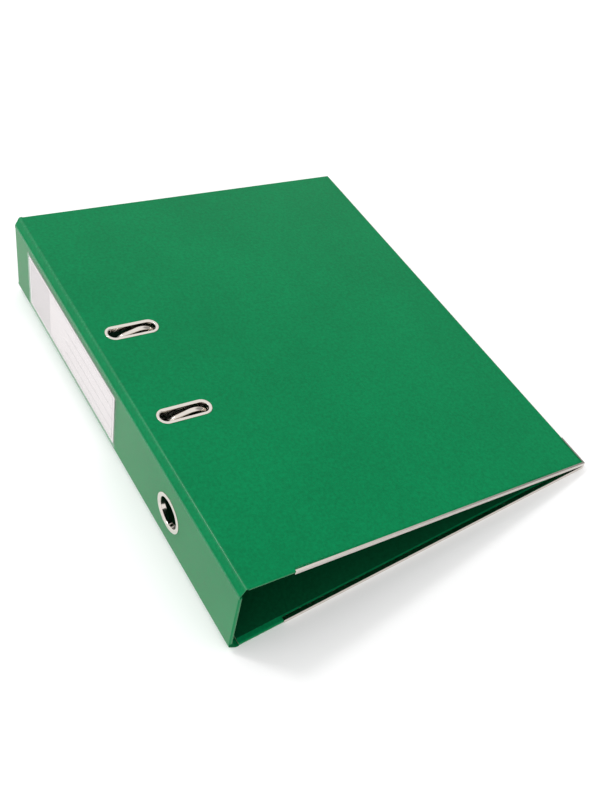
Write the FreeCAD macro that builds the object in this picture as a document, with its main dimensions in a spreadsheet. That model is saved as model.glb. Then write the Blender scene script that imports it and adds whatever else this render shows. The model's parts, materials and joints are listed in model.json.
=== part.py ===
"""Lever arch file, lying closed on its back cover.

Frame: millimetres. X runs from the spine to the fore edge, Y from the bottom edge (-Y) to the top edge,
Z up. The origin is the middle of the back cover's underside.
The case is a chain of flat leaves joined at creases: back cover, back hinge strip, spine, front hinge strip,
front cover. Each leaf has its own frame at its first crease: local X along the leaf, local Y as the world's,
local Z out of the file, with the outer face at local Z = 0.
"""
import FreeCAD, Part
import math
import os
import Sketcher

Vector = FreeCAD.Vector
Rotation = FreeCAD.Rotation
Placement = FreeCAD.Placement

# Driving dimensions, in millimetres and degrees: alias, value, meaning.
SIZES = [
    ("file_height", 348, "covers, along the spine (foolscap)"),
    ("back_depth", 280, "back cover, crease to fore edge"),
    ("front_depth", 281, "front cover, crease to fore edge"),
    ("spine_width", 59.1, "spine leaf, crease to crease"),
    ("strip_width", 7.5, "hinge strip, crease to crease"),
    ("back_strip_tilt", 45, "back hinge strip, from the ground"),
    ("front_strip_tilt", 54.3, "front hinge strip, from the ground"),
    ("spine_lean", 6.8, "spine, from upright towards the fore edge"),
    ("fore_edge_gap", 0.5, "space between the two covers' edge shoes at the fore edge"),
    ("board", 2.0, "greyboard thickness"),
    ("foil", 0.3, "covering foil thickness"),
    ("lining", 0.2, "lining thickness"),
    ("turn_in", 15, "width of the foil turned in over the inner face"),
    ("lining_margin", 4, "bare turned-in foil between the lining and the edge"),
    ("crease_gap", 0.3, "clearance of a leaf's foil from its crease"),
    ("board_setback", 2.4, "clearance of a leaf's board from its crease"),
    ("strip_thickness", 0.5, "hinge strip, foil and lining welded together"),
    ("shoe_metal", 0.4, "edge shoe sheet"),
    ("shoe_flange", 2.6, "edge shoe flange over the cover's faces"),
    ("shoe_start", 34, "edge shoe's start, from the crease"),
    ("shoe_return", 25, "edge shoe's return along the fore edge"),
    ("slot_spacing", 80, "posts, arches and slots, centre to centre"),
    ("slot_long", 35, "slot opening, along the cover"),
    ("slot_wide", 8.6, "slot opening, across"),
    ("slot_flange", 2.3, "slot eyelet flange width"),
    ("eyelet_metal", 0.5, "eyelet flange thickness"),
    ("collar_wall", 0.5, "eyelet and ring collar wall"),
    ("backing_metal", 0.3, "backing ring thickness"),
    ("backing_flange", 2.0, "backing ring flange width"),
    ("ring_bore", 22, "finger ring bore diameter"),
    ("ring_flange", 3.4, "finger ring flange width"),
    ("ring_metal", 0.7, "finger ring flange thickness"),
    ("ring_from_bottom", 87, "finger ring centre, from the file's bottom edge"),
    ("label_long", 150, "label card, along the spine"),
    ("label_wide", 47, "label card, across the spine"),
    ("label_card", 0.3, "label card thickness"),
    ("label_from_top", 29, "label card's end, from the file's top edge"),
    ("pocket_film", 0.2, "label pocket film"),
    ("pocket_play", 0.1, "space round the label card in its pocket"),
    ("pocket_weld", 2.2, "label pocket's welded margin"),
    ("plate_long", 156, "mechanism base plate, along the file"),
    ("plate_wide", 48, "mechanism base plate, across"),
    ("plate_inset", 17, "base plate's edge, from the spine's foot"),
    ("plate_metal", 1.2, "base plate sheet"),
    ("plate_corner", 8, "base plate corner radius"),
    ("wire_radius", 2.0, "arch wire and post radius"),
    ("wire_lift", 0.4, "space under the arch wire's shaft"),
    ("shaft_inset", 28, "arch shaft, from the spine's foot"),
    ("post_inset", 55.4, "posts, from the spine's foot"),
    ("shoulder_inset", 23.8, "arches' spine side corner, from the spine's foot"),
    ("arch_drop_left", 3.4, "arch top's centre below the cover's face, spine side"),
    ("arch_drop_right", 1.6, "arch top's centre below the cover's face, post side"),
    ("arch_turn_left", 11, "arch bend radius, spine side"),
    ("arch_turn_right", 12, "arch bend radius, post side"),
    ("arch_tip_drop", 16.2, "arch tip, below the arch's post side corner"),
    ("lap_long", 4, "half lap between arch tip and post"),
    ("lap_gap", 0.3, "clearance in the half lap"),
    ("root_turn", 5, "wire bend radius at shaft and crank"),
    ("crank_reach", 7.5, "crank bar, from the shaft towards the posts"),
    ("crank_side", 10.6, "crank leg, from the file's middle"),
    ("crank_turn", 3, "wire bend radius at the crank's corners"),
    ("running_play", 0.06, "radial clearance of a pin or shaft"),
    ("knuckle_wall", 1.2, "shaft knuckle wall"),
    ("knuckle_long", 6, "shaft knuckle length"),
    ("knuckle_inner", 19, "inner knuckle's middle, from the file's middle"),
    ("knuckle_from_arch", 9.5, "outer knuckle's middle, from the arch"),
    ("pivot_inset", 42, "lever pivot, from the spine's foot"),
    ("pivot_rise", 14, "lever pivot, above the ground"),
    ("pivot_radius", 1.6, "lever pin radius"),
    ("pin_head_radius", 2.7, "lever pin head radius"),
    ("pin_head", 0.9, "lever pin head thickness"),
    ("ear_metal", 1.2, "lever ear sheet"),
    ("ear_radius", 3.6, "lever ear's rounded top"),
    ("ear_play", 0.35, "space between lever and ear"),
    ("lever_angle", 160, "lever's direction at rest, from +X upwards"),
    ("lever_long", 36, "lever, pivot to tip"),
    ("lever_wide", 14, "lever, across"),
    ("lever_metal", 1.2, "lever sheet"),
    ("lever_back", 3.6, "lever's web, above its pivot"),
    ("tab_long", 9, "lever's flat tab"),
    ("tab_roll", 1.3, "rolled edge of the lever's tab, radius"),
    ("flange_deep", 2.6, "lever flanges, below the pivot line"),
    ("roller_radius", 2.8, "pressure roller radius"),
    ("roller_long", 9, "pressure roller length"),
    ("roller_gap", 0.25, "space between roller and crank"),
    ("axle_radius", 1.25, "roller axle radius"),
    ("axle_lobe", 2.3, "lever's lobe round the roller axle"),
    ("lobe_run", 5.75, "roller axle to where the lever's flange is at its plain depth"),
    ("foot_radius", 4.2, "post foot radius"),
    ("foot_high", 1.6, "post foot height"),
    ("bar_long", 108, "compressor bar, along the file"),
    ("bar_wide", 13, "compressor bar, across"),
    ("bar_metal", 1.5, "compressor bar thickness"),
    ("bar_play", 0.3, "compressor hole, radial clearance"),
    ("bar_seat", 0.3, "space between post foot and compressor bar"),
    ("lock_wide", 8, "lock plate, across"),
    ("lock_metal", 0.8, "lock plate thickness"),
    ("lock_travel", 2.0, "lock plate travel"),
    ("lock_tab", 4.5, "lock plate's thumb tab height"),
    ("guide_radius", 1.3, "compressor rivet shank radius"),
    ("guide_head", 2.4, "compressor rivet head radius"),
    ("guide_cap", 0.7, "compressor rivet head thickness"),
    ("guide_play", 0.1, "space between lock plate and rivet head"),
    ("guide_place", 22, "compressor rivet, from the file's middle"),
    ("rivet_radius", 1.8, "base rivet shank radius"),
    ("rivet_head", 3.8, "base rivet head radius"),
    ("rivet_dome", 1.4, "base rivet dome height"),
    ("rivet_flat", 0.6, "base rivet's outer head thickness, sunk flush"),
    ("rivet_edge", 7.5, "base rivet centre, from the plate's edges"),
]

doc = FreeCAD.newDocument("LeverArchFile")
sheet = doc.addObject("Spreadsheet::Sheet", "Sizes")
for row, (alias, value, meaning) in enumerate(SIZES, start=1):
    sheet.set(f"A{row}", meaning)
    sheet.set(f"B{row}", str(value))
    sheet.setAlias(f"B{row}", alias)
doc.recompute()

# Places worked out from the driving dimensions. S. stands for the sheet, L. for this set.
layout = doc.addObject("App::VarSet", "Layout")


def spell(expression):
    """Write an expression's short prefixes out in full."""
    return expression.replace("S.", "Sizes.").replace("L.", "Layout.")


def derive(name, expression):
    """Add a worked-out place or angle, in degrees, to the layout."""
    layout.addProperty("App::PropertyFloat", name, "Derived")
    layout.setExpression(name, spell(expression))


derive("Wall", "2 * S.foil + S.board + S.lining")
derive("SpineX", "-(S.strip_width * cos(S.back_strip_tilt) + S.back_depth) / 2")
derive("BackCreaseX", "L.SpineX + S.strip_width * cos(S.back_strip_tilt)")
derive("SpineFootZ", "S.strip_width * sin(S.back_strip_tilt)")
derive("SpineHeadX", "L.SpineX + S.spine_width * sin(S.spine_lean)")
derive("SpineHeadZ", "L.SpineFootZ + S.spine_width * cos(S.spine_lean)")
derive("FrontCreaseX", "L.SpineHeadX + S.strip_width * cos(S.front_strip_tilt)")
derive("FrontCreaseZ", "L.SpineHeadZ + S.strip_width * sin(S.front_strip_tilt)")
derive("ForeEdgeZ", "2 * (L.Wall + S.shoe_metal) + S.fore_edge_gap")
derive("CoverSlope", "asin((L.FrontCreaseZ - L.ForeEdgeZ) / S.front_depth) / 1 deg")
derive("PlateTop", "L.Wall + S.plate_metal")
derive("ShaftX", "L.SpineX + S.shaft_inset")
derive("ShaftZ", "L.PlateTop + S.wire_lift + S.wire_radius")
derive("PostX", "L.SpineX + S.post_inset")
derive("ShoulderX", "L.SpineX + S.shoulder_inset")
derive("ArchMidX", "(L.ShoulderX + L.PostX) / 2")
derive("SlotU", "(L.ArchMidX - L.FrontCreaseX) / cos(L.CoverSlope)")
derive("CoverZ", "L.FrontCreaseZ - (L.ArchMidX - L.FrontCreaseX) * tan(L.CoverSlope)")
derive("ShoulderZ", "L.CoverZ - S.arch_drop_left")
derive("CornerZ", "L.CoverZ - S.arch_drop_right")
derive("TipZ", "L.CornerZ - S.arch_tip_drop")
derive("PivotX", "L.SpineX + S.pivot_inset")
derive("RollerX", "L.ShaftX + S.crank_reach")
derive("RollerZ", "L.ShaftZ + S.wire_radius + S.roller_gap + S.roller_radius")
derive("RollerAlong", "(L.RollerX - L.PivotX) * cos(S.lever_angle)"
                      " + (L.RollerZ - S.pivot_rise) * sin(S.lever_angle)")
derive("RollerBelow", "(L.RollerZ - S.pivot_rise) * cos(S.lever_angle)"
                      " - (L.RollerX - L.PivotX) * sin(S.lever_angle)")
derive("BarZ", "L.PlateTop + S.foot_high + S.bar_seat")
derive("RingU", "S.spine_width / 2")
derive("RingY", "S.ring_from_bottom - S.file_height / 2")
derive("LabelTopY", "S.file_height / 2 - S.label_from_top")
doc.recompute()

# A leaf's frame: its first crease and the direction of its local X above the ground, in degrees.
LEAVES = {
    "back_cover": ("L.BackCreaseX", "0", "180"),
    "back_strip": ("L.BackCreaseX", "0", "180 - S.back_strip_tilt"),
    "spine": ("L.SpineX", "L.SpineFootZ", "90 - S.spine_lean"),
    "front_strip": ("L.SpineHeadX", "L.SpineHeadZ", "S.front_strip_tilt"),
    "front_cover": ("L.FrontCreaseX", "L.FrontCreaseZ", "0 - L.CoverSlope"),
}
GROUND = ("0", "0", "0")
LONGER = 10          # how far a cutter runs past what it cuts
WITHIN = 0.7         # a corner this share of a radius away, both ways, lies just inside the circle

nodes = []


def bind(thing, prop, expression):
    """Tie one property to an expression."""
    thing.setExpression(prop, spell(expression))


def settle(thing, frame, label=None):
    """Place an object in a leaf's frame and, with a label, keep it as a sub-part."""
    x, z, angle = frame
    thing.Placement = Placement(Vector(0, 0, 0), Rotation(Vector(0, 1, 0), 10))
    bind(thing, "Placement.Base.x", x)
    bind(thing, "Placement.Base.z", z)
    bind(thing, "Placement.Rotation.Angle", f"0 - ({angle})")
    if label:
        thing.Label = label
        nodes.append(thing)


def block(name, x_span, y_span, z_span):
    """A Part box between three pairs of expressions."""
    box = doc.addObject("Part::Box", name)
    for size, axis, (low, high) in (("Length", "x", x_span), ("Width", "y", y_span), ("Height", "z", z_span)):
        bind(box, size, f"({high}) - ({low})")
        bind(box, f"Placement.Base.{axis}", low)
    return box


def fuse(name, *shapes):
    """Join several objects into one."""
    whole = doc.addObject("Part::MultiFuse", name)
    whole.Shapes = list(shapes)
    whole.Refine = True
    return whole


def cut(name, base, tool):
    """Take a tool out of a base."""
    rest = doc.addObject("Part::Cut", name)
    rest.Base = base
    rest.Tool = tool
    rest.Refine = True
    return rest


def new_body(name):
    """An empty PartDesign body."""
    return doc.addObject("PartDesign::Body", name)


def new_sketch(body, name, plane_role="XY_Plane", offset=("0", "0", "0")):
    """A sketch on one of the body's own origin planes, moved in that plane's own axes."""
    plane = next(part for part in body.Origin.OriginFeatures if part.Role == plane_role)
    sketch = body.newObject("Sketcher::SketchObject", name)
    sketch.AttachmentSupport = [(plane, "")]
    sketch.MapMode = "FlatFace"
    for axis, expression in zip("xyz", offset):
        bind(sketch, f"AttachmentOffset.Base.{axis}", expression)
    return sketch


def reckon(expression):
    """The present value of an expression."""
    return float(layout.evalExpression(spell(expression)))


def limit(sketch, kind, items, expression):
    """Add a dimension to a sketch and tie it to an expression."""
    index = sketch.addConstraint(Sketcher.Constraint(kind, *items, reckon(expression)))
    bind(sketch, f"Constraints[{index}]", expression)


def draw_circle(sketch, radius):
    """A circle about the sketch's origin."""
    index = sketch.addGeometry(Part.Circle(Vector(0, 0, 0), Vector(0, 0, 1), reckon(radius)))
    sketch.addConstraint(Sketcher.Constraint("Coincident", index, 3, -1, 1))
    limit(sketch, "Radius", (index,), radius)


def draw_stadium(sketch, length, width, upright=False):
    """A round-ended slot about the sketch's origin, along its X axis, or its Y axis when upright."""
    straight = f"({length}) - ({width})"
    radius = reckon(width) / 2
    along = Vector(0, 1, 0) if upright else Vector(1, 0, 0)
    side = Vector(-along.y, along.x, 0) * radius
    centre = along * (reckon(straight) / 2)
    turn = math.atan2(along.y, along.x)
    quarter = math.pi / 2
    low_end = Part.Circle(-centre, Vector(0, 0, 1), radius)
    high_end = Part.Circle(centre, Vector(0, 0, 1), radius)
    left = sketch.addGeometry(Part.ArcOfCircle(low_end, turn + quarter, turn + 3 * quarter))
    right = sketch.addGeometry(Part.ArcOfCircle(high_end, turn - quarter, turn + quarter))
    upper = sketch.addGeometry(Part.LineSegment(centre + side, side - centre))
    lower = sketch.addGeometry(Part.LineSegment(-side - centre, centre - side))
    for arc, arc_end, line, line_end in ((right, 2, upper, 1), (left, 1, upper, 2),
                                         (left, 2, lower, 1), (right, 1, lower, 2)):
        sketch.addConstraint(Sketcher.Constraint("Tangent", arc, arc_end, line, line_end))
    sketch.addConstraint(Sketcher.Constraint("Symmetric", left, 3, right, 3, -1, 1))
    axis = -2 if upright else -1
    sketch.addConstraint(Sketcher.Constraint("PointOnObject", left, 3, axis))
    limit(sketch, "Radius", (left,), f"({width}) / 2")
    limit(sketch, "Distance", (left, 3, right, 3), straight)


def draw_rounded(sketch, length, width, radius):
    """A rectangle with rounded corners about the sketch's origin."""
    half = Vector(reckon(length) / 2, reckon(width) / 2, 0)
    bend = reckon(radius)
    points = [Vector(half.x * sx, half.y * sy, 0) for sx, sy in ((-1, -1), (1, -1), (1, 1), (-1, 1))]
    sides = []
    corners = []
    for index, point in enumerate(points):
        following = points[(index + 1) % 4]
        step = (following - point).normalize() * bend
        sides.append(sketch.addGeometry(Part.LineSegment(point + step, following - step)))
    for index, point in enumerate(points):
        inward = Vector(-math.copysign(bend, point.x), -math.copysign(bend, point.y), 0)
        start = math.pi + index * math.pi / 2
        circle = Part.Circle(point + inward, Vector(0, 0, 1), bend)
        corners.append(sketch.addGeometry(Part.ArcOfCircle(circle, start, start + math.pi / 2)))
    for index in range(4):
        sketch.addConstraint(Sketcher.Constraint("Tangent", sides[index - 1], 2, corners[index], 1))
        sketch.addConstraint(Sketcher.Constraint("Tangent", corners[index], 2, sides[index], 1))
    for index in (1, 2, 3):
        sketch.addConstraint(Sketcher.Constraint("Equal", corners[0], corners[index]))
    sketch.addConstraint(Sketcher.Constraint("Horizontal", sides[0]))
    sketch.addConstraint(Sketcher.Constraint("Vertical", sides[1]))
    sketch.addConstraint(Sketcher.Constraint("Symmetric", corners[0], 3, corners[2], 3, -1, 1))
    limit(sketch, "Radius", (corners[0],), radius)
    limit(sketch, "DistanceX", (corners[0], 3, corners[1], 3), f"({length}) - 2 * ({radius})")
    limit(sketch, "DistanceY", (corners[1], 3, corners[2], 3), f"({width}) - 2 * ({radius})")


def pad(body, sketch, length, both_ways=False, down=False):
    """Pad a sketch by an expression."""
    feature = body.newObject("PartDesign::Pad", sketch.Name + "_pad")
    feature.Profile = sketch
    feature.SideType = "Symmetric" if both_ways else "One side"
    feature.Reversed = down
    bind(feature, "Length", length)
    return feature


def pocket(body, sketch):
    """Cut a sketch right through, both ways, and check that it took something away."""
    doc.recompute()
    before = body.Shape.Volume
    feature = body.newObject("PartDesign::Pocket", sketch.Name + "_pocket")
    feature.Profile = sketch
    feature.SideType = "Symmetric"
    bind(feature, "Length", "2 * S.file_height")
    doc.recompute()
    if body.Shape.Volume > before - 1e-6:
        raise RuntimeError(f"{sketch.Name} cuts nothing")
    return feature


def slab(body, name, x_span, y_span, z_span):
    """Add a PartDesign box between three pairs of expressions."""
    box = body.newObject("PartDesign::AdditiveBox", name)
    for size, axis, (low, high) in (("Length", "x", x_span), ("Width", "y", y_span), ("Height", "z", z_span)):
        bind(box, size, f"({high}) - ({low})")
        bind(box, f"Placement.Base.{axis}", low)
    return box


# What each leaf of the case is like: its run of local X, which of its ends is a free edge, and its openings.
HALF = "S.file_height / 2"
COVERS = {
    "back": {"frame": "back_cover", "start": "0 - S.back_depth", "end": "0", "free_start": True,
             "free_end": False, "openings": []},
    "spine": {"frame": "spine", "start": "0", "end": "S.spine_width", "free_start": False,
              "free_end": False, "openings": ["ring"]},
    "front": {"frame": "front_cover", "start": "0", "end": "S.front_depth", "free_start": False,
              "free_end": True, "openings": ["far_slot", "near_slot"]},
}
OPENING_PLACES = {
    "ring": ("L.RingU", "L.RingY"),
    "far_slot": ("L.SlotU", "S.slot_spacing / 2"),
    "near_slot": ("L.SlotU", "0 - S.slot_spacing / 2"),
}


def draw_opening(sketch, opening, spare):
    """Draw an opening's outline, larger all round by an expression."""
    if opening == "ring":
        draw_circle(sketch, f"S.ring_bore / 2 + {spare}")
    else:
        draw_stadium(sketch, f"S.slot_long + 2 * ({spare})", f"S.slot_wide + 2 * ({spare})")


def inset(cover, from_crease, from_edge):
    """A cover's run of local X, pulled in from its creases and from its free edges."""
    start = from_edge if cover["free_start"] else from_crease
    end = from_edge if cover["free_end"] else from_crease
    return (f"{cover['start']} + ({start})", f"{cover['end']} - ({end})")


def inset_y(margin):
    """The file's height, pulled in at both ends."""
    return (f"({margin}) - {HALF}", f"{HALF} - ({margin})")


def window(cover, margin):
    """As inset, but running past the creases, for cutters."""
    start = margin if cover["free_start"] else f"0 - {LONGER}"
    end = margin if cover["free_end"] else f"0 - {LONGER}"
    return (f"{cover['start']} + ({start})", f"{cover['end']} - ({end})")


def punch(name, solid, cover, openings_spare):
    """Cut a cover's openings through one of its layers with stadium or round prisms."""
    for opening in cover["openings"]:
        body = new_body(f"{name}_{opening}_punch")
        sketch = new_sketch(body, f"{name}_{opening}_outline", offset=(*OPENING_PLACES[opening], f"0 - {LONGER}"))
        draw_opening(sketch, opening, openings_spare)
        pad(body, sketch, f"2 * {LONGER}")
        solid = cut(f"{name}_{opening}_cut", solid, body)
    return solid


def case_layers(name, cover):
    """The board, outer foil and lining of one cover or of the spine."""
    frame = LEAVES[cover["frame"]]
    board = new_body(f"{name}_board_body")
    slab(board, f"{name}_sheet", inset(cover, "S.board_setback", "S.foil"), inset_y("S.foil"),
         ("0 - S.foil - S.board", "0 - S.foil"))
    for opening in cover["openings"]:
        outline = new_sketch(board, f"{name}_{opening}", offset=(*OPENING_PLACES[opening], "0"))
        draw_opening(outline, opening, "S.collar_wall")
        pocket(board, outline)
    settle(board, frame, f"{name}_board")

    skin = block(f"{name}_skin", inset(cover, "S.crease_gap", "0"), inset_y("0"), ("0 - S.foil", "0"))
    wrap = block(f"{name}_wrap", inset(cover, "S.board_setback", "0"), inset_y("0"),
                 ("0 - 2 * S.foil - S.board", "0"))
    core = block(f"{name}_core", window(cover, "S.foil"), inset_y("S.foil"),
                 ("0 - S.foil - S.board", "0 - S.foil"))
    face = block(f"{name}_face", window(cover, "S.turn_in"), inset_y("S.turn_in"),
                 (f"0 - {LONGER}", "0 - S.foil"))
    foil = cut(f"{name}_foil_shell", fuse(f"{name}_foil_solid", skin, wrap), fuse(f"{name}_inside", core, face))
    foil = punch(f"{name}_foil", foil, cover, "S.collar_wall")
    settle(foil, frame, f"{name}_outer_foil")

    fill = block(f"{name}_fill", inset(cover, "S.board_setback", "S.turn_in"), inset_y("S.turn_in"),
                 ("0 - L.Wall", "0 - S.foil - S.board"))
    lap = block(f"{name}_lap", inset(cover, "S.board_setback", "S.lining_margin"), inset_y("S.lining_margin"),
                ("0 - L.Wall", "0 - 2 * S.foil - S.board"))
    lining = punch(f"{name}_lining", fuse(f"{name}_lining_sheet", fill, lap), cover, "S.collar_wall")
    settle(lining, frame, f"{name}_lining")
    return board, foil, lining


def hinge_strip(name, frame):
    """The thin welded strip between two creases."""
    body = new_body(name)
    slab(body, f"{name}_sheet", ("S.crease_gap", "S.strip_width - S.crease_gap"), inset_y("0"),
         ("0 - S.strip_thickness", "0"))
    settle(body, frame, name)


def edge_shoe(name, cover, away):
    """A folded metal channel on a cover's bottom edge, returning a little way up its fore edge.

    Its outer flange is pressed in flush with the cover's outer face; its inner flange lies on the inner face.
    """
    metal = "S.shoe_metal"
    thick = (f"0 - L.Wall - {metal}", "0")
    bottom = f"0 - {HALF}"
    fore = "S.back_depth" if away < 0 else "S.front_depth"
    runs = [("S.shoe_start", f"{fore} + {metal}"), (f"{fore} - S.shoe_flange", f"{fore} + {metal}")]
    rises = [f"{bottom} + S.shoe_flange", f"{bottom} + S.shoe_return"]
    arms = []
    for index, (run, rise) in enumerate(zip(runs, rises)):
        span = run if away > 0 else (f"0 - ({run[1]})", f"0 - ({run[0]})")
        arms.append(block(f"{name}_arm{index}", span, (f"{bottom} - {metal}", rise), thick))
    gripped = block(f"{name}_gripped", (cover["start"], cover["end"]), inset_y("0"),
                    ("0 - L.Wall", f"0 - {metal}"))
    shoe = cut(f"{name}_channel", fuse(f"{name}_blank", *arms), gripped)
    settle(shoe, LEAVES[cover["frame"]], name)
    return shoe


def eyelet(name, opening, frame, flange, metal):
    """A pressed ring: a flange on the outer face and a collar through the leaf."""
    body = new_body(name)
    place = OPENING_PLACES[opening]
    outline = new_sketch(body, f"{name}_flange", offset=(*place, "0"))
    draw_opening(outline, opening, flange)
    pad(body, outline, metal)
    collar = new_sketch(body, f"{name}_collar", offset=(*place, "0"))
    draw_opening(collar, opening, "S.collar_wall")
    pad(body, collar, "L.Wall", down=True)
    hole = new_sketch(body, f"{name}_hole", offset=(*place, "0"))
    draw_opening(hole, opening, "0")
    pocket(body, hole)
    settle(body, LEAVES[frame], name)


def backing(name, opening, frame):
    """The flat ring behind a leaf that an eyelet is clinched to."""
    body = new_body(name)
    place = (*OPENING_PLACES[opening], "0 - L.Wall - S.backing_metal")
    outline = new_sketch(body, f"{name}_outline", offset=place)
    draw_opening(outline, opening, "S.collar_wall + S.backing_flange")
    pad(body, outline, "S.backing_metal")
    hole = new_sketch(body, f"{name}_hole", offset=place)
    draw_opening(hole, opening, "S.collar_wall")
    pocket(body, hole)
    settle(body, LEAVES[frame], name)


def label():
    """The clear pocket on the spine and the card that slides in it from the top."""
    low_y = "L.LabelTopY - S.label_long"
    side = "(S.spine_width - S.label_wide) / 2"
    card = new_body("label_card")
    card_z = "S.pocket_film + S.pocket_play"
    slab(card, "label_sheet", (side, f"S.spine_width - {side}"), (low_y, "L.LabelTopY"),
         (card_z, f"{card_z} + S.label_card"))
    settle(card, LEAVES["spine"], "label_card")

    edge = "(S.pocket_weld + S.pocket_play)"
    play = "S.pocket_play"
    top = "2 * S.pocket_film + 2 * S.pocket_play + S.label_card"
    film = block("pocket_film", (f"{side} - {edge}", f"S.spine_width - {side} + {edge}"),
                 (f"{low_y} - {edge}", "L.LabelTopY + S.pocket_weld"), ("0", top))
    space = block("pocket_space", (f"{side} - {play}", f"S.spine_width - {side} + {play}"),
                  (f"{low_y} - {play}", f"L.LabelTopY + {LONGER}"),
                  ("S.pocket_film", f"{top} - S.pocket_film"))
    settle(cut("pocket_sleeve", film, space), LEAVES["spine"], "label_pocket")


def base_plate():
    """The pressed base: plate, four shaft knuckles, two lever ears and rivet holes."""
    body = new_body("base_plate_sheet")
    middle = "L.SpineX + S.plate_inset + S.plate_wide / 2"
    outline = new_sketch(body, "plate_outline", offset=(middle, "0", "L.Wall"))
    draw_rounded(outline, "S.plate_wide", "S.plate_long", "S.plate_corner")
    pad(body, outline, "S.plate_metal")
    knuckles = {"inner": "S.knuckle_inner", "outer": "(S.slot_spacing / 2 - S.knuckle_from_arch)"}
    for side in (-1, 1):
        for which, y in knuckles.items():
            tag = f"knuckle_{which}_{'far' if side > 0 else 'near'}"
            ring = new_sketch(body, tag, "XZ_Plane", ("L.ShaftX", "L.ShaftZ", f"{-side} * {y}"))
            draw_circle(ring, "S.wire_radius + S.running_play + S.knuckle_wall")
            pad(body, ring, "S.knuckle_long", both_ways=True)
        tag = f"ear_{'far' if side > 0 else 'near'}"
        face = "(S.lever_wide / 2 + S.ear_play + S.ear_metal / 2)"
        eye = new_sketch(body, tag, "XZ_Plane", ("L.PivotX", "S.pivot_rise", f"{-side} * {face}"))
        draw_circle(eye, "S.ear_radius")
        pad(body, eye, "S.ear_metal", both_ways=True)
        near = f"{side} * {face} - S.ear_metal / 2"
        slab(body, tag + "_web", ("L.PivotX - S.ear_radius", "L.PivotX + S.ear_radius"),
             (near, f"{near} + S.ear_metal"), ("L.Wall", "S.pivot_rise"))
    bore = new_sketch(body, "shaft_bore", "XZ_Plane", ("L.ShaftX", "L.ShaftZ", "0"))
    draw_circle(bore, "S.wire_radius + S.running_play")
    pocket(body, bore)
    pivot = new_sketch(body, "pivot_bore", "XZ_Plane", ("L.PivotX", "S.pivot_rise", "0"))
    draw_circle(pivot, "S.pivot_radius")
    pocket(body, pivot)
    for name, place in rivet_places().items():
        hole = new_sketch(body, f"{name}_hole", offset=(*place, "0"))
        draw_circle(hole, "S.rivet_radius")
        pocket(body, hole)
    for name, y in post_places().items():
        hole = new_sketch(body, f"{name}_hole", offset=("L.PostX", y, "0"))
        draw_circle(hole, "S.wire_radius")
        pocket(body, hole)
    settle(body, GROUND, "base_plate")


def rivet_places():
    """Base rivet centres, by name."""
    places = {}
    for x_name, x in (("inner", "L.SpineX + S.plate_inset + S.rivet_edge"),
                      ("outer", "L.SpineX + S.plate_inset + S.plate_wide - S.rivet_edge")):
        for y_name, sign in (("near", "0 -"), ("far", "0 +")):
            places[f"rivet_{x_name}_{y_name}"] = (x, f"{sign} (S.plate_long / 2 - S.rivet_edge)")
    return places


def post_places():
    """Post centres along the file, by name."""
    return {"near_post": "0 - S.slot_spacing / 2", "far_post": "S.slot_spacing / 2"}


def disc(name, x, y, z, radius, height):
    """An upright cylinder standing at a place."""
    drum = doc.addObject("Part::Cylinder", name)
    bind(drum, "Radius", radius)
    bind(drum, "Height", height)
    for axis, value in zip("xyz", (x, y, z)):
        bind(drum, f"Placement.Base.{axis}", value)
    return drum


def base_rivets():
    """Four rivets through plate and cover, with the holes and head recesses that they need."""
    rivets = []
    for name, (x, y) in rivet_places().items():
        shank = disc(f"{name}_shank", x, y, "0", "S.rivet_radius", "L.PlateTop")
        flat = disc(f"{name}_flat", x, y, "0", "S.rivet_head", "S.rivet_flat")
        dome = doc.addObject("Part::Cone", f"{name}_dome")
        bind(dome, "Radius1", "S.rivet_head")
        bind(dome, "Radius2", "S.rivet_head / 2")
        bind(dome, "Height", "S.rivet_dome")
        for axis, value in zip("xyz", (x, y, "L.PlateTop")):
            bind(dome, f"Placement.Base.{axis}", value)
        rivets.append(fuse(name, shank, flat, dome))
    group = doc.addObject("Part::Compound", "rivet_group")
    group.Links = rivets
    settle(group, GROUND, "base_rivets")


def rivet_holes():
    """What the rivets take out of the back cover's layers."""
    cutters = []
    for name, (x, y) in rivet_places().items():
        cutters.append(disc(f"{name}_bore", x, y, f"0 - {LONGER}", "S.rivet_radius", f"2 * {LONGER}"))
        cutters.append(disc(f"{name}_recess", x, y, f"0 - {LONGER}", "S.rivet_head",
                            f"{LONGER} + S.rivet_flat"))
    return fuse("rivet_cutter", *cutters)


def carve(solid, tool):
    """Cut a tool, given in the file's own frame, out of a sub-part that is already settled."""
    label_text = solid.Label
    nodes.remove(solid)
    solid.Label = f"{label_text}_before_{tool.Name}"
    carved = cut(f"{label_text}_less_{tool.Name}", solid, tool)
    carved.Label = label_text
    nodes.append(carved)
    return carved


def posts():
    """Fixed posts: a foot on the plate, a rod, and the upper half of the half lap."""
    for name, y in post_places().items():
        stem = disc(f"{name}_stem", "L.PostX", y, "L.Wall", "S.wire_radius", "L.TipZ + S.lap_long - L.Wall")
        foot = disc(f"{name}_foot", "L.PostX", y, "L.PlateTop", "S.foot_radius", "S.foot_high")
        half = block(f"{name}_half", (f"L.PostX - {LONGER}", "L.PostX + S.lap_gap / 2"),
                     (f"{y} - {LONGER}", f"{y} + {LONGER}"),
                     ("L.TipZ - S.lap_gap", f"L.TipZ + {LONGER}"))
        settle(cut(f"{name}_lapped", fuse(f"{name}_solid", stem, foot), half), GROUND, name)


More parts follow.
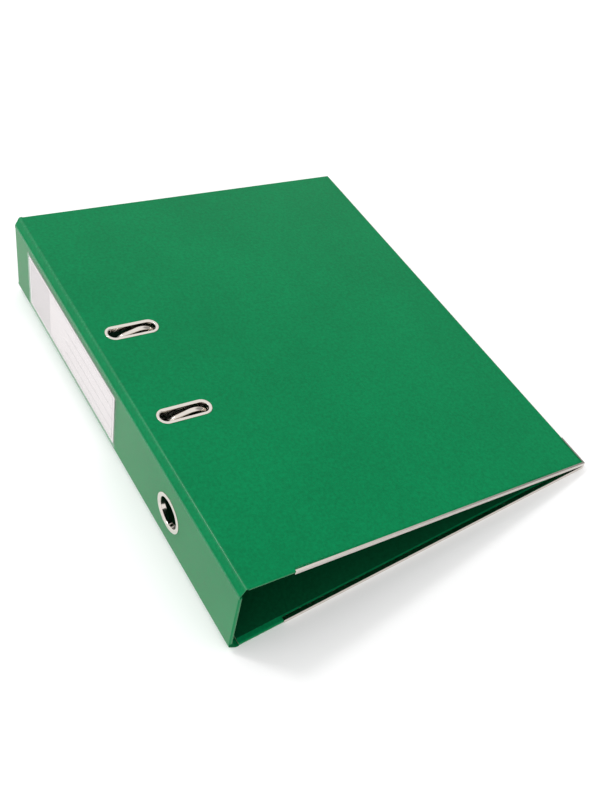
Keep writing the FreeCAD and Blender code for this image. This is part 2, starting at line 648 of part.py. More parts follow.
def tangent_path(points, radii):
    """Straight runs through the points, joined by tangent arcs of the given radii."""
    edges = []
    start = points[0]
    for before, corner, after, radius in zip(points, points[1:], points[2:], radii):
        into = (corner - before).normalize()
        out = (after - corner).normalize()
        turn = into.getAngle(out)
        reach = radius * math.tan(turn / 2)
        first = corner - into * reach
        last = corner + out * reach
        bisector = (out - into).normalize()
        centre = corner + bisector * (radius / math.cos(turn / 2))
        middle = centre - bisector * radius
        edges.append(Part.LineSegment(start, first).toShape())
        edges.append(Part.Arc(first, middle, last).toShape())
        start = last
    edges.append(Part.LineSegment(start, points[-1]).toShape())
    return Part.Wire(edges)


def arch_wire():
    """One bent wire: arch, shaft, crank, shaft, arch. Its tips are cut to half laps."""
    shaft = Vector(layout.ShaftX, 0, layout.ShaftZ)
    arm = sheet.slot_spacing / 2
    side = sheet.crank_side
    half_arch = [
        Vector(layout.PostX, arm, layout.TipZ),
        Vector(layout.PostX, arm, layout.CornerZ),
        Vector(layout.ShoulderX, arm, layout.ShoulderZ),
        shaft + Vector(0, arm, 0),
        shaft + Vector(0, side, 0),
        shaft + Vector(sheet.crank_reach, side, 0),
    ]
    mirrored = [Vector(point.x, -point.y, point.z) for point in reversed(half_arch)]
    bends = [sheet.arch_turn_right, sheet.arch_turn_left, sheet.root_turn, sheet.crank_turn, sheet.crank_turn]
    path = tangent_path(half_arch + mirrored, bends + list(reversed(bends)))
    section = Part.Wire(Part.Circle(half_arch[0], Vector(0, 0, 1), sheet.wire_radius).toShape())
    wire = path.makePipeShell([section], True, False, 2)
    for y in (arm, -arm):
        reach = 2 * sheet.wire_radius
        corner = Vector(layout.PostX - sheet.lap_gap / 2, y - reach, layout.TipZ - reach)
        lap = Part.makeBox(reach, 2 * reach, reach + sheet.lap_long + sheet.lap_gap, corner)
        wire = wire.cut(lap)
    part = doc.addObject("Part::Feature", "arch_wire_shape")
    part.Shape = wire
    part.Label = "arch_wire"
    part.Placement = Placement()
    nodes.append(part)
    return part


def draw_polygon(sketch, points):
    """A closed outline through points given as pairs of expressions."""
    doc.recompute()
    places = [Vector(reckon(x), reckon(y), 0) for x, y in points]
    count = len(points)
    for index in range(count):
        sketch.addGeometry(Part.LineSegment(places[index], places[(index + 1) % count]))
    for index in range(count):
        sketch.addConstraint(Sketcher.Constraint("Coincident", index, 2, (index + 1) % count, 1))
    for index, (x, y) in enumerate(points):
        for kind, expression, value in (("DistanceX", x, places[index].x), ("DistanceY", y, places[index].y)):
            row = sketch.addConstraint(Sketcher.Constraint(kind, -1, 1, index, 1, value))
            bind(sketch, f"Constraints[{row}]", expression)


def rod(name, x, z, low_y, high_y, radius):
    """A cylinder along Y."""
    bar = doc.addObject("Part::Cylinder", name)
    bar.Placement = Placement(Vector(0, 0, 0), Rotation(Vector(1, 0, 0), -90))
    bind(bar, "Radius", radius)
    bind(bar, "Height", f"({high_y}) - ({low_y})")
    for axis, value in zip("xyz", (x, low_y, z)):
        bind(bar, f"Placement.Base.{axis}", value)
    return bar


def lever_arm():
    """A folded channel: a web on its back, two flanges, a lobe for the roller's axle and a rolled tab.

    Its own frame starts at the pivot, with local X along the lever and local Z out of its open side.
    """
    body = new_body("lever_channel")
    eye = new_sketch(body, "lever_eye", "XZ_Plane")
    draw_circle(eye, "S.ear_radius")
    pad(body, eye, "S.lever_wide", both_ways=True)
    lobe = new_sketch(body, "lever_lobe", "XZ_Plane", ("L.RollerAlong", "L.RollerBelow", "0"))
    draw_circle(lobe, "S.axle_lobe")
    pad(body, lobe, "S.lever_wide", both_ways=True)
    side = new_sketch(body, "lever_side", "XZ_Plane")
    back = "0 - S.lever_back"
    under = "S.lever_metal - S.lever_back"
    tab = "S.lever_long - S.tab_long"
    lobe_foot = f"L.RollerBelow + {WITHIN} * S.axle_lobe"
    draw_polygon(side, [
        ("0", back),
        ("S.lever_long", back),
        ("S.lever_long", under),
        (tab, under),
        (f"{tab} - S.flange_deep", "0"),
        ("L.RollerAlong + S.lobe_run", "S.flange_deep"),
        (f"L.RollerAlong + {WITHIN} * S.axle_lobe", lobe_foot),
        (f"L.RollerAlong - {WITHIN} * S.axle_lobe", lobe_foot),
        (f"0 - {WITHIN} * S.ear_radius", f"{WITHIN} * S.ear_radius"),
    ])
    pad(body, side, "S.lever_wide", both_ways=True)
    doc.recompute()
    solid_volume = body.Shape.Volume
    hollow = body.newObject("PartDesign::SubtractiveBox", "lever_hollow")
    inner = "(S.lever_wide / 2 - S.lever_metal)"
    spans = {"Length": ("x", f"0 - {LONGER}", f"{tab} - S.lever_metal"),
             "Width": ("y", f"0 - {inner}", inner),
             "Height": ("z", under, f"{2 * LONGER}")}
    for size, (axis, low, high) in spans.items():
        bind(hollow, size, f"({high}) - ({low})")
        bind(hollow, f"Placement.Base.{axis}", low)
    doc.recompute()
    if body.Shape.Volume > solid_volume - 1:
        raise RuntimeError("the lever's channel was not cut")
    roll = body.newObject("PartDesign::AdditiveCylinder", "lever_roll")
    roll.Placement = Placement(Vector(0, 0, 0), Rotation(Vector(1, 0, 0), -90))
    bind(roll, "Radius", "S.tab_roll")
    bind(roll, "Height", "S.lever_wide")
    bind(roll, "Placement.Base.x", "S.lever_long")
    bind(roll, "Placement.Base.y", "0 - S.lever_wide / 2")
    bind(roll, "Placement.Base.z", "S.tab_roll - S.lever_back")
    pivot = new_sketch(body, "lever_pivot", "XZ_Plane")
    draw_circle(pivot, "S.pivot_radius + S.running_play")
    pocket(body, pivot)
    axle = new_sketch(body, "lever_axle", "XZ_Plane", ("L.RollerAlong", "L.RollerBelow", "0"))
    draw_circle(axle, "S.axle_radius")
    pocket(body, axle)
    settle(body, ("L.PivotX", "S.pivot_rise", "S.lever_angle"), "lever_arm")


def lever_pin():
    """The riveted pin that the lever turns on, held in the ears."""
    ears = "(S.lever_wide / 2 + S.ear_play + S.ear_metal)"
    place = ("L.PivotX", "S.pivot_rise")
    shank = rod("pin_shank", *place, f"0 - {ears}", ears, "S.pivot_radius")
    near = rod("pin_near_head", *place, f"0 - {ears} - S.pin_head", f"0 - {ears}", "S.pin_head_radius")
    far = rod("pin_far_head", *place, ears, f"{ears} + S.pin_head", "S.pin_head_radius")
    settle(fuse("pin_solid", shank, near, far), GROUND, "lever_pin")


def pressure_roller():
    """The roller that holds the crank down, and the axle across the lever's flanges."""
    place = ("L.RollerX", "L.RollerZ")
    half = "(S.lever_wide / 2)"
    axle = new_body("axle_body")
    shank = new_sketch(axle, "axle_section", "XZ_Plane", (*place, "0"))
    draw_circle(shank, "S.axle_radius")
    pad(axle, shank, f"2 * {half}", both_ways=True)
    settle(axle, GROUND, "roller_axle")
    roller = new_body("roller_body")
    tread = new_sketch(roller, "roller_section", "XZ_Plane", (*place, "0"))
    draw_circle(tread, "S.roller_radius")
    pad(roller, tread, "S.roller_long", both_ways=True)
    bore = new_sketch(roller, "roller_bore", "XZ_Plane", (*place, "0"))
    draw_circle(bore, "S.axle_radius + S.running_play")
    pocket(roller, bore)
    settle(roller, GROUND, "pressure_roller")


def guide_places():
    """Compressor rivet centres along the file, by name."""
    return {"near_guide": "0 - S.guide_place", "far_guide": "S.guide_place"}


def compressor():
    """The bar that rides on the posts, its sliding lock plate and the two rivets that guide the plate."""
    bar = new_body("bar_body")
    outline = new_sketch(bar, "bar_outline", offset=("L.PostX", "0", "L.BarZ"))
    draw_stadium(outline, "S.bar_long", "S.bar_wide", upright=True)
    pad(bar, outline, "S.bar_metal")
    lock_z = "L.BarZ + S.bar_metal"
    lock = new_body("lock_body")
    lock_long = "S.slot_spacing + S.bar_wide"
    sheet_outline = new_sketch(lock, "lock_outline", offset=("L.PostX", "0", lock_z))
    draw_stadium(sheet_outline, lock_long, "S.lock_wide", upright=True)
    pad(lock, sheet_outline, "S.lock_metal")
    tab_y = f"({lock_long}) / 2 - S.lock_wide / 2"
    slab(lock, "lock_thumb", ("L.PostX - S.lock_wide / 4", "L.PostX + S.lock_wide / 4"),
         (tab_y, f"{tab_y} + S.lock_metal"), (lock_z, f"{lock_z} + S.lock_metal + S.lock_tab"))
    for name, y in post_places().items():
        radius = "(S.wire_radius + S.bar_play)"
        hole = new_sketch(bar, f"bar_{name}", offset=("L.PostX", y, "L.BarZ"))
        draw_circle(hole, radius)
        pocket(bar, hole)
        slot = new_sketch(lock, f"lock_{name}", offset=("L.PostX", f"{y} - S.lock_travel / 2", lock_z))
        draw_stadium(slot, f"2 * {radius} + S.lock_travel", f"2 * {radius}", upright=True)
        pocket(lock, slot)
    rivets = []
    for name, y in guide_places().items():
        hole = new_sketch(bar, f"bar_{name}", offset=("L.PostX", y, "L.BarZ"))
        draw_circle(hole, "S.guide_radius")
        pocket(bar, hole)
        wide = "2 * (S.guide_radius + S.bar_play)"
        slot = new_sketch(lock, f"lock_{name}", offset=("L.PostX", f"{y} - S.lock_travel / 2", lock_z))
        draw_stadium(slot, f"{wide} + S.lock_travel", wide, upright=True)
        pocket(lock, slot)
        reach = "S.bar_metal + S.lock_metal + S.guide_play"
        shank = disc(f"{name}_shank", "L.PostX", y, "L.BarZ", "S.guide_radius", reach)
        head = disc(f"{name}_head", "L.PostX", y, f"L.BarZ + {reach}", "S.guide_head", "S.guide_cap")
        rivets.append(fuse(name, shank, head))
    settle(bar, GROUND, "compressor_bar")
    settle(lock, GROUND, "compressor_lock")
    group = doc.addObject("Part::Compound", "guide_group")
    group.Links = rivets
    settle(group, GROUND, "compressor_rivets")


def check_and_write():
    """Stop on any failed object or broken shape, then write each sub-part."""
    doc.recompute()
    for thing in doc.Objects:
        if "Invalid" in thing.State or "Error" in thing.State:
            raise RuntimeError(f"{thing.Name} failed: {thing.State}")
    labels = [thing.Label for thing in nodes]
    if len(set(labels)) != len(labels):
        raise RuntimeError("two sub-parts share a name")
    os.makedirs("parts", exist_ok=True)
    for thing in nodes:
        shape = thing.Shape
        if shape.isNull() or not shape.isValid() or not shape.Solids:
            raise RuntimeError(f"{thing.Label} is not a valid solid")
        shape.exportStep(f"parts/{thing.Label}.step")
        print(f"{thing.Label:24s} {len(shape.Solids)} solid(s) {shape.Volume:10.1f} mm3")


def main():
    """Build every sub-part, check it and write its STEP file."""
    layers = {name: case_layers(name, cover) for name, cover in COVERS.items()}
    drill = rivet_holes()
    layers["back"] = [carve(layer, drill) for layer in layers["back"]]
    hinge_strip("back_hinge_strip", LEAVES["back_strip"])
    hinge_strip("front_hinge_strip", LEAVES["front_strip"])
    for name, away in (("back", -1), ("front", 1)):
        shoe = edge_shoe(f"{name}_edge_shoe", COVERS[name], away)
        board, foil, _ = layers[name]
        carve(board, shoe)
        carve(foil, shoe)
    eyelet("finger_ring", "ring", "spine", "S.ring_flange", "S.ring_metal")
    backing("finger_ring_backing", "ring", "spine")
    for side in ("far", "near"):
        eyelet(f"{side}_slot_eyelet", f"{side}_slot", "front_cover", "S.slot_flange", "S.eyelet_metal")
        backing(f"{side}_slot_backing", f"{side}_slot", "front_cover")
    label()
    base_plate()
    base_rivets()
    posts()
    arch_wire()
    lever_arm()
    lever_pin()
    pressure_roller()
    compressor()
    check_and_write()


main()
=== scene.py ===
"""Looks of a lever arch file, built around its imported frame.

Everything is in metres, in the frame's axes: X from the spine to the fore edge, Y from the bottom edge
to the top edge, Z up. The case is a chain of flat leaves joined at creases. A piece of the case is
modelled in its leaf's own axes, which are X along the leaf from its crease, Y as the world's and Z out
of the file with the outer face at zero, and is then laid in place.
"""

import json
import math
from collections import namedtuple

import bmesh
import bpy
from bpy.props import FloatProperty, FloatVectorProperty, PointerProperty
from mathutils import Matrix, Vector


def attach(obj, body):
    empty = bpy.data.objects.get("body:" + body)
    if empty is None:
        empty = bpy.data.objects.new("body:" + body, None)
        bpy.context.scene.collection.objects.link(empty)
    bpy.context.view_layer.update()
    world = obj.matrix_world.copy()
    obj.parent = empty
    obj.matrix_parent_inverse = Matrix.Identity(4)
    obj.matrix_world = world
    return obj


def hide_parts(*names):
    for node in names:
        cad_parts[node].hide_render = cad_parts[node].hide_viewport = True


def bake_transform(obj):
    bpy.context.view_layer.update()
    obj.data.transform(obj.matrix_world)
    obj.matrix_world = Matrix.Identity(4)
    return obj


bl_info = {
    "name": "Lever Arch File",
    "version": (1, 0, 0),
    "blender": (4, 5, 0),
    "location": "View3D > Sidebar > Lever Arch File",
    "description": "Builds the covers, fittings and mechanism of a lever arch file around its frame",
    "category": "Object",
}

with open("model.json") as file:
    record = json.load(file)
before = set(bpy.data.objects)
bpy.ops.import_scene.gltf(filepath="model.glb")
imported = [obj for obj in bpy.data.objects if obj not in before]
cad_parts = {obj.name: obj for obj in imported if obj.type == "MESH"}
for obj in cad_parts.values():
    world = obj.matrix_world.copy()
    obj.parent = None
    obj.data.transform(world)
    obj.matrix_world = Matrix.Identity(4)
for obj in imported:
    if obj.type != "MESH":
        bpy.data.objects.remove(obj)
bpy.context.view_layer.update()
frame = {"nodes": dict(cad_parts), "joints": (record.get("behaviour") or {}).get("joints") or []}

MM = 0.001
ACROSS = Vector((0, 1, 0))
UP = Vector((0, 0, 1))
JOINTS = {joint["name"]: joint for joint in frame["joints"]}


# ---------------------------------------------------------------- leaves of the case

Leaf = namedtuple("Leaf", "origin along out")


def crease_place(joint):
    """Where a crease or a pivot is."""
    return Vector(JOINTS[joint]["pos_m"])


def leaf_between(start, end):
    """The leaf that runs from one crease to the next."""
    along = (end - start).normalized()
    return Leaf(start, along, along.cross(ACROSS))


def cover_direction(node):
    """The way a cover runs from its crease: square to the broadest face of its foil."""
    mesh = frame["nodes"][node].data
    broadest = max(mesh.polygons, key=lambda face: face.area)
    slope = broadest.normal if broadest.normal.z > 0 else -broadest.normal
    return Vector((slope.z, 0, -slope.x))


BACK_CREASE = crease_place("back_strip_fold")
SPINE_FOOT = crease_place("spine_fold")
SPINE_HEAD = crease_place("front_strip_fold")
FRONT_CREASE = crease_place("cover_fold")
LEAVES = {
    "back_cover": leaf_between(BACK_CREASE, BACK_CREASE - Vector((1, 0, 0))),
    "back_hinge": leaf_between(BACK_CREASE, SPINE_FOOT),
    "spine": leaf_between(SPINE_FOOT, SPINE_HEAD),
    "front_hinge": leaf_between(SPINE_HEAD, FRONT_CREASE),
    "front_cover": leaf_between(FRONT_CREASE, FRONT_CREASE + cover_direction("front_outer_foil")),
}
WORLD = Leaf(Vector((0, 0, 0)), Vector((1, 0, 0)), UP)


def leaf_matrix(leaf):
    """The matrix from a leaf's own axes to the world's."""
    turn = Matrix((leaf.along, ACROSS, leaf.out)).transposed()
    return Matrix.Translation(leaf.origin) @ turn.to_4x4()


def span(node, leaf=WORLD):
    """A node's lowest and highest corners in a leaf's own axes."""
    back = leaf_matrix(leaf).inverted()
    corners = [back @ vertex.co for vertex in frame["nodes"][node].data.vertices]
    low = Vector([min(corner[axis] for corner in corners) for axis in range(3)])
    high = Vector([max(corner[axis] for corner in corners) for axis in range(3)])
    return low, high


# ---------------------------------------------------------------- sizes and colours

def linear(code):
    """The linear colour, with full alpha, of an sRGB hex code."""
    channels = []
    for start in (0, 2, 4):
        value = int(code[start:start + 2], 16) / 255
        channels.append(value / 12.92 if value <= 0.04045 else ((value + 0.055) / 1.055) ** 2.4)
    return (*channels, 1.0)


def length(name, description, millimetres):
    """A length that a user can set, with its default given in millimetres."""
    return FloatProperty(name=name, description=description, default=millimetres * MM, min=0,
                         unit="LENGTH", precision=5)


def colour(name, description, code):
    """A colour that a user can set, with its default given in sRGB hex."""
    return FloatVectorProperty(name=name, description=description, default=linear(code), size=4,
                               min=0, max=1, subtype="COLOR")


class FileSizes(bpy.types.PropertyGroup):
    """Sizes of what the frame leaves plain."""
    foil: length("Foil", "Thickness of the covering foil", 0.3)
    board_edge: length("Board edge", "Radius of the foil's bend round the board's edges", 0.9)
    turn_in: length("Turn-in", "Width of the foil folded over onto the inner face", 15)
    crease_reach: length("Crease reach", "How far a crease's soft bend reaches into each leaf", 1.0)
    strip_dip: length("Strip dip", "How far a hinge strip is pressed in along its middle", 0.15)
    edge_break: length("Edge break", "Radius that tumbling leaves on the edges of pressed parts", 0.18)
    crease_gap: length("Crease gap", "How far the frame's foil stops short of a crease", 0.3)
    slot_flange: length("Slot flange", "Width of the slot eyelets' flange", 2.3)
    ring_flange: length("Ring flange", "Width of the finger ring's flange", 3.4)
    collar: length("Collar wall", "Sheet thickness of the eyelets' collars", 0.5)
    card_corner: length("Card corner", "Corner radius of the label card", 1.0)
    rivet_head: length("Rivet head", "Radius of the base rivets' heads", 3.8)
    rivet_dome: length("Rivet dome", "Height of the base rivets' domes", 1.4)
    rivet_flat: length("Rivet flat", "Thickness of the base rivets' flat heads", 0.6)
    rivet_shank: length("Rivet shank", "Radius of the base rivets' shanks", 1.8)
    pin_head: length("Pin head", "Thickness of the lever pin's heads", 0.9)
    pin_shank: length("Pin shank", "Radius of the lever pin", 1.6)
    running_play: length("Running play", "Clearance between the roller and its axle", 0.06)
    roller_edge: length("Roller edge", "Radius of the roller's edges", 0.5)
    guide_cap: length("Guide cap", "Thickness of the compressor rivets' heads", 0.7)
    guide_shank: length("Guide shank", "Radius of the compressor rivets' shanks", 1.3)
    frame_line: length("Frame line", "Width of the printed rules on the label", 0.5)


class FileColours(bpy.types.PropertyGroup):
    """Colours of the file's materials."""
    foil: colour("Foil", "Covering foil on the outside", "007B49")
    # The lining's dark tone is partly its own dark green and partly painted shade for the dim inside of
    # the file
    lining: colour("Lining", "Lining on the inside", "00492A")
    board: colour("Greyboard", "Pulp board inside the covers", "8C867B")
    nickel: colour("Nickel", "Nickel plate on wire, eyelets and rivets", "D9D2CA")
    sheet: colour("Plated sheet", "Nickel plate on the pressed sheet parts", "B9B6B0")
    card: colour("Label card", "Label card", "DED5D7")
    ruling: colour("Ruling", "Printed rules on the label card", "958B91")
    floor: colour("Floor", "Floor of the set", "FCFCFC")


def sizes():
    """The sizes now set in the scene."""
    return bpy.context.scene.lever_arch_sizes


def colours():
    """The colours now set in the scene."""
    return bpy.context.scene.lever_arch_colours


# ---------------------------------------------------------------- materials

NOISE_LOW = 0.3            # most of a noise's values lie between these two
NOISE_HIGH = 0.7
POLYPROPYLENE_IOR = 1.49
CAST_FILM_IOR = 1.46


def add(tree, kind, inputs=None, stops=None, **settings):
    """Add a shader node with settings. An input given a socket is linked, any other value is set."""
    made = tree.nodes.new("ShaderNode" + kind)
    for key, value in settings.items():
        setattr(made, key, value)
    for key, value in (inputs or {}).items():
        if isinstance(value, bpy.types.NodeSocket):
            tree.links.new(value, made.inputs[key])
        else:
            made.inputs[key].default_value = value
    for index, (place, tint) in enumerate(stops or ()):
        ramp = made.color_ramp.elements
        stop = ramp[index] if index < len(ramp) else ramp.new(place)
        stop.position = place
        stop.color = tint
    return made


def grey(value):
    """A neutral colour."""
    return (value, value, value, 1.0)


def shade(tint, share):
    """A colour made darker, or lighter when the share is over one."""
    return (*[min(1.0, channel * share) for channel in tint[:3]], 1.0)


def per_mm(size):
    """Texture scale, in object coordinates, for a feature of a size in millimetres."""
    return 1 / (size * MM)


def noise(tree, place, feature, detail, rough=0.5, twist=0.0):
    """A noise with features of a size in millimetres."""
    inputs = {"Vector": place, "Scale": per_mm(feature), "Detail": detail, "Roughness": rough,
              "Distortion": twist}
    return add(tree, "TexNoise", inputs).outputs["Fac"]


def tones(tree, value, dark, light, low=NOISE_LOW, high=NOISE_HIGH):
    """A colour that goes from one tone to another as a value goes from low to high."""
    return add(tree, "ValToRGB", {"Fac": value}, stops=((low, dark), (high, light))).outputs["Color"]


def spread(tree, value, least, most, low=NOISE_LOW, high=NOISE_HIGH):
    """A number that goes from least to most as a value goes from low to high."""
    inputs = {"Value": value, "From Min": low, "From Max": high, "To Min": least, "To Max": most}
    return add(tree, "MapRange", inputs).outputs["Result"]


def multiplied(tree, one, other, share=1.0):
    """A colour multiplied by another, by a share from 0 to 1."""
    inputs = {"Fac": share, "Color1": one, "Color2": other}
    return add(tree, "MixRGB", inputs, blend_type="MULTIPLY").outputs["Color"]


def relief(tree, height, strength, depth, under=None):
    """A bump of a depth in millimetres, laid over another where one is given."""
    inputs = {"Height": height, "Strength": strength, "Distance": depth * MM}
    if under is not None:
        inputs["Normal"] = under
    return add(tree, "Bump", inputs).outputs["Normal"]


def calc(tree, operation, *values):
    """The result of one sum in a shader."""
    return add(tree, "Math", dict(enumerate(values)), operation=operation).outputs[0]


def new_material(name):
    """An empty node material and its tree."""
    material = bpy.data.materials.new(name)
    material.use_nodes = True
    material.node_tree.nodes.clear()
    return material, material.node_tree


def coordinates(tree, kind="Object"):
    """A shader's texture coordinates, as one socket."""
    return add(tree, "TexCoord").outputs[kind]


def surface(tree, base, roughness, **others):
    """End a material in one principled shader. Other inputs are named with _ for a space."""
    inputs = {"Base Color": base, "Roughness": roughness}
    inputs.update({key.replace("_", " "): value for key, value in others.items()})
    shader = add(tree, "BsdfPrincipled", inputs)
    add(tree, "OutputMaterial", {"Surface": shader.outputs["BSDF"]})


def embossed_foil(name, tint, roughness, sheen_patch, grain_depth=0.55, gloss=0.05, dust=0.5):
    """Polypropylene foil from an embossing roll: satin, with a pebbled grain that breaks up the gloss.

    The real grain is about 0.3 mm; it is drawn at 0.7 mm, the least that shows. A welding bar presses
    it flat. Its dusty sheen whitens it at a grazing angle.
    """
    material, tree = new_material(name)
    place = coordinates(tree)
    pebbles = {"Vector": place, "Scale": per_mm(0.7), "Randomness": 1.0}
    grain = add(tree, "TexVoronoi", pebbles, feature="SMOOTH_F1").outputs["Distance"]
    uneven = noise(tree, place, 2.2, detail=6, rough=0.65)
    # Wide patches of painted sheen, a sheen_patch across, that make the base colour darker and lighter
    # by turns
    painted_sheen = noise(tree, place, sheen_patch, detail=3)
    mottle = tones(tree, uneven, shade(tint, 0.86), shade(tint, 1.12), low=0.35, high=0.65)
    waves = relief(tree, uneven, strength=0.25, depth=0.06)
    # The base colour is the mottle times the patches of painted sheen
    surface(tree, multiplied(tree, mottle, tones(tree, painted_sheen, grey(0.9), grey(1.0))),
            spread(tree, uneven, roughness - 0.06, roughness + 0.08),
            IOR=POLYPROPYLENE_IOR, Specular_IOR_Level=gloss,
            Sheen_Weight=dust, Sheen_Roughness=0.3, Sheen_Tint=linear("FFF6E8"),
            Normal=relief(tree, grain, strength=grain_depth, depth=0.1, under=waves))
    return material


def nickel_plate(name, tint, roughness):
    """Bright nickel plate on turned or drawn steel: a warm mirror, softened by fine scratches."""
    material, tree = new_material(name)
    place = coordinates(tree)
    haze = noise(tree, place, 5, detail=5, rough=0.6)
    scratch = noise(tree, place, 0.8, detail=2, twist=1.5)
    surface(tree, tones(tree, haze, shade(tint, 0.93), tint),
            spread(tree, haze, roughness * 0.7, roughness * 1.5),
            Metallic=1.0, Normal=relief(tree, scratch, strength=0.12, depth=0.02))
    return material


def rolled_sheet(name, tint, roughness):
    """Nickel plated cold rolled sheet, pressed and tumbled: satin, with the mill's lines along it."""
    material, tree = new_material(name)
    place = coordinates(tree)
    drawn_out = add(tree, "Mapping", {"Vector": place, "Scale": (1.0, 0.04, 1.0)}).outputs["Vector"]
    mill = noise(tree, drawn_out, 0.6, detail=3)
    stain = noise(tree, place, 12, detail=4)
    surface(tree, tones(tree, stain, shade(tint, 0.84), shade(tint, 1.05)),
            spread(tree, mill, roughness - 0.06, roughness + 0.1),
            Metallic=1.0, Normal=relief(tree, mill, strength=0.2, depth=0.02))
    return material


def pulp_board(name, tint):
    """Grey pulp board, calendered from waste paper: matt, speckled with fibres and dark flecks."""
    material, tree = new_material(name)
    place = coordinates(tree)
    fibre = noise(tree, place, 0.9, detail=8, rough=0.75)
    fleck = add(tree, "TexVoronoi", {"Vector": place, "Scale": per_mm(3)}).outputs["Distance"]
    pulp = tones(tree, fibre, shade(tint, 0.75), shade(tint, 1.2))
    dark = tones(tree, fleck, grey(0.55), grey(1.0), low=0.06, high=0.12)
    surface(tree, multiplied(tree, pulp, dark, share=0.5), 0.95,
            Normal=relief(tree, fibre, strength=0.5, depth=0.08))
    return material


def clear_film(name):
    """Clear cast polypropylene film: thin, glossy, with a faint waviness that bends its reflections."""
    material, tree = new_material(name)
    place = coordinates(tree)
    wave = noise(tree, place, 9, detail=2)
    surface(tree, linear("F7FAF8"), spread(tree, wave, 0.05, 0.16, low=0.0, high=1.0),
            IOR=CAST_FILM_IOR, Alpha=0.16, Normal=relief(tree, wave, strength=0.3, depth=0.1))
    return material


CARD_MARGIN = 2.5 * MM     # bare card outside the printed frame
LINE_PITCH = 11 * MM       # writing lines, from one to the next
LINES_UP_TO = 0.55         # share of the card's length that is ruled
PANEL_FROM = 0.74          # share of its length where the plain tinted panel begins
PANEL_TINT = 0.35          # share of the ink's tone in the panel


def printed_card(name, tint, ink, card_size, rule):
    """Uncoated label card, matt with a little tooth, printed with a plain frame, lines and a panel.

    The card's own UV map runs from 0 to 1 across it and along it.
    """
    material, tree = new_material(name)
    place = coordinates(tree)
    split = add(tree, "SeparateXYZ", {"Vector": coordinates(tree, "UV")}).outputs
    framed = []
    printable = []
    for axis, extent in zip(("X", "Y"), card_size):
        away = calc(tree, "ABSOLUTE", calc(tree, "SUBTRACT", split[axis], 0.5))
        metres = calc(tree, "MULTIPLY", away, extent)
        edge = extent / 2 - CARD_MARGIN
        framed.append(calc(tree, "LESS_THAN", metres, edge))
        printable.append(calc(tree, "LESS_THAN", metres, edge - rule))
    field = calc(tree, "MULTIPLY", *printable)
    border = calc(tree, "SUBTRACT", calc(tree, "MULTIPLY", *framed), field)
    phase = calc(tree, "FRACT", calc(tree, "MULTIPLY", split["X"], card_size[0] / LINE_PITCH))
    stroke = calc(tree, "LESS_THAN", phase, rule / LINE_PITCH)
    ruled = calc(tree, "MULTIPLY", stroke, calc(tree, "LESS_THAN", split["Y"], LINES_UP_TO))
    lines = calc(tree, "MAXIMUM", calc(tree, "MULTIPLY", ruled, field), border)
    head = calc(tree, "MULTIPLY", calc(tree, "GREATER_THAN", split["Y"], PANEL_FROM), field)
    printed = calc(tree, "MAXIMUM", lines, calc(tree, "MULTIPLY", head, PANEL_TINT))
    tooth = noise(tree, place, 0.8, detail=6)
    paper = tones(tree, tooth, shade(tint, 0.94), shade(tint, 1.03))
    base = add(tree, "MixRGB", {"Fac": printed, "Color1": paper, "Color2": ink}).outputs["Color"]
    surface(tree, base, 0.85, Normal=relief(tree, tooth, strength=0.25, depth=0.03))
    return material


MATERIALS = {}


def finish_of(kind):
    """A material by name, made the first time that it is asked for."""
    foil = colours().foil[:]
    lining = colours().lining[:]
    makers = {
        "embossed_polypropylene": lambda: embossed_foil(kind, foil, roughness=0.42, sheen_patch=60),
        "welded_polypropylene": lambda: embossed_foil(kind, foil, roughness=0.24, sheen_patch=60,
                                                      grain_depth=0.12, gloss=0.3, dust=0.1),
        # The lining's tint holds painted shade for the inside of the file as well as its own dark green
        "lining_polypropylene": lambda: embossed_foil(kind, lining, roughness=0.5, sheen_patch=45),
        "nickel_plated_steel": lambda: nickel_plate(kind, colours().nickel[:], roughness=0.1),
        "nickel_plated_sheet": lambda: rolled_sheet(kind, colours().sheet[:], roughness=0.3),
        "greyboard": lambda: pulp_board(kind, colours().board[:]),
        "clear_polypropylene": lambda: clear_film(kind),
    }
    if kind not in MATERIALS:
        MATERIALS[kind] = makers[kind]()
    return MATERIALS[kind]


# ---------------------------------------------------------------- modelling by hand

SAME_PLACE = 0.01 * MM     # places nearer than this are one
SPUN_MERGE = 0.002 * MM    # merging distance where a spin meets itself
CAD_MERGE = 0.001 * MM     # merging distance between the CAD's faces
FLAT_ANGLE = math.radians(0.5)
SMOOTH_ANGLE = math.radians(38)
SHARP_ANGLE = math.radians(40)
ALIGNED = 0.9              # least cosine at which a face or an edge counts as along an axis
FLAT_WEIGHT = 80           # how far large faces rule the shading of the corners beside them
CORNER_STEPS = 4           # faces round a small corner
BREAK_STEPS = 2            # faces round an edge that tumbling broke
TURN_STEPS = 32            # faces round a turned piece


def clear_selection():
    """Leave edit mode and select nothing."""
    if bpy.context.mode != "OBJECT":
        bpy.ops.object.mode_set(mode="OBJECT")
    bpy.ops.object.select_all(action="DESELECT")


def pick(thing):
    """Make a piece the only selected one and the active one."""
    clear_selection()
    thing.select_set(True)
    bpy.context.view_layer.objects.active = thing


def edit(thing):
    """Pick a piece and go into edit mode."""
    pick(thing)
    bpy.ops.object.mode_set(mode="EDIT")


def choose(kind, test):
    """In edit mode, select only the verts, edges or faces that pass a test."""
    mesh = bpy.context.edit_object.data
    bpy.ops.mesh.select_mode(type=kind)
    bpy.ops.mesh.select_all(action="DESELECT")
    shape = bmesh.from_edit_mesh(mesh)
    for item in {"VERT": shape.verts, "EDGE": shape.edges, "FACE": shape.faces}[kind]:
        if test(item):
            item.select_set(True)
    bmesh.update_edit_mesh(mesh)


def near(value, target):
    """Whether two places on an axis are the same."""
    return abs(value - target) < SAME_PLACE


def whole_edge(edge, axis, target):
    """Whether both of an edge's ends lie on a plane square to an axis."""
    return all(near(vert.co[axis], target) for vert in edge.verts)


def edge_direction(edge):
    """The way an edge runs."""
    return (edge.verts[0].co - edge.verts[1].co).normalized()


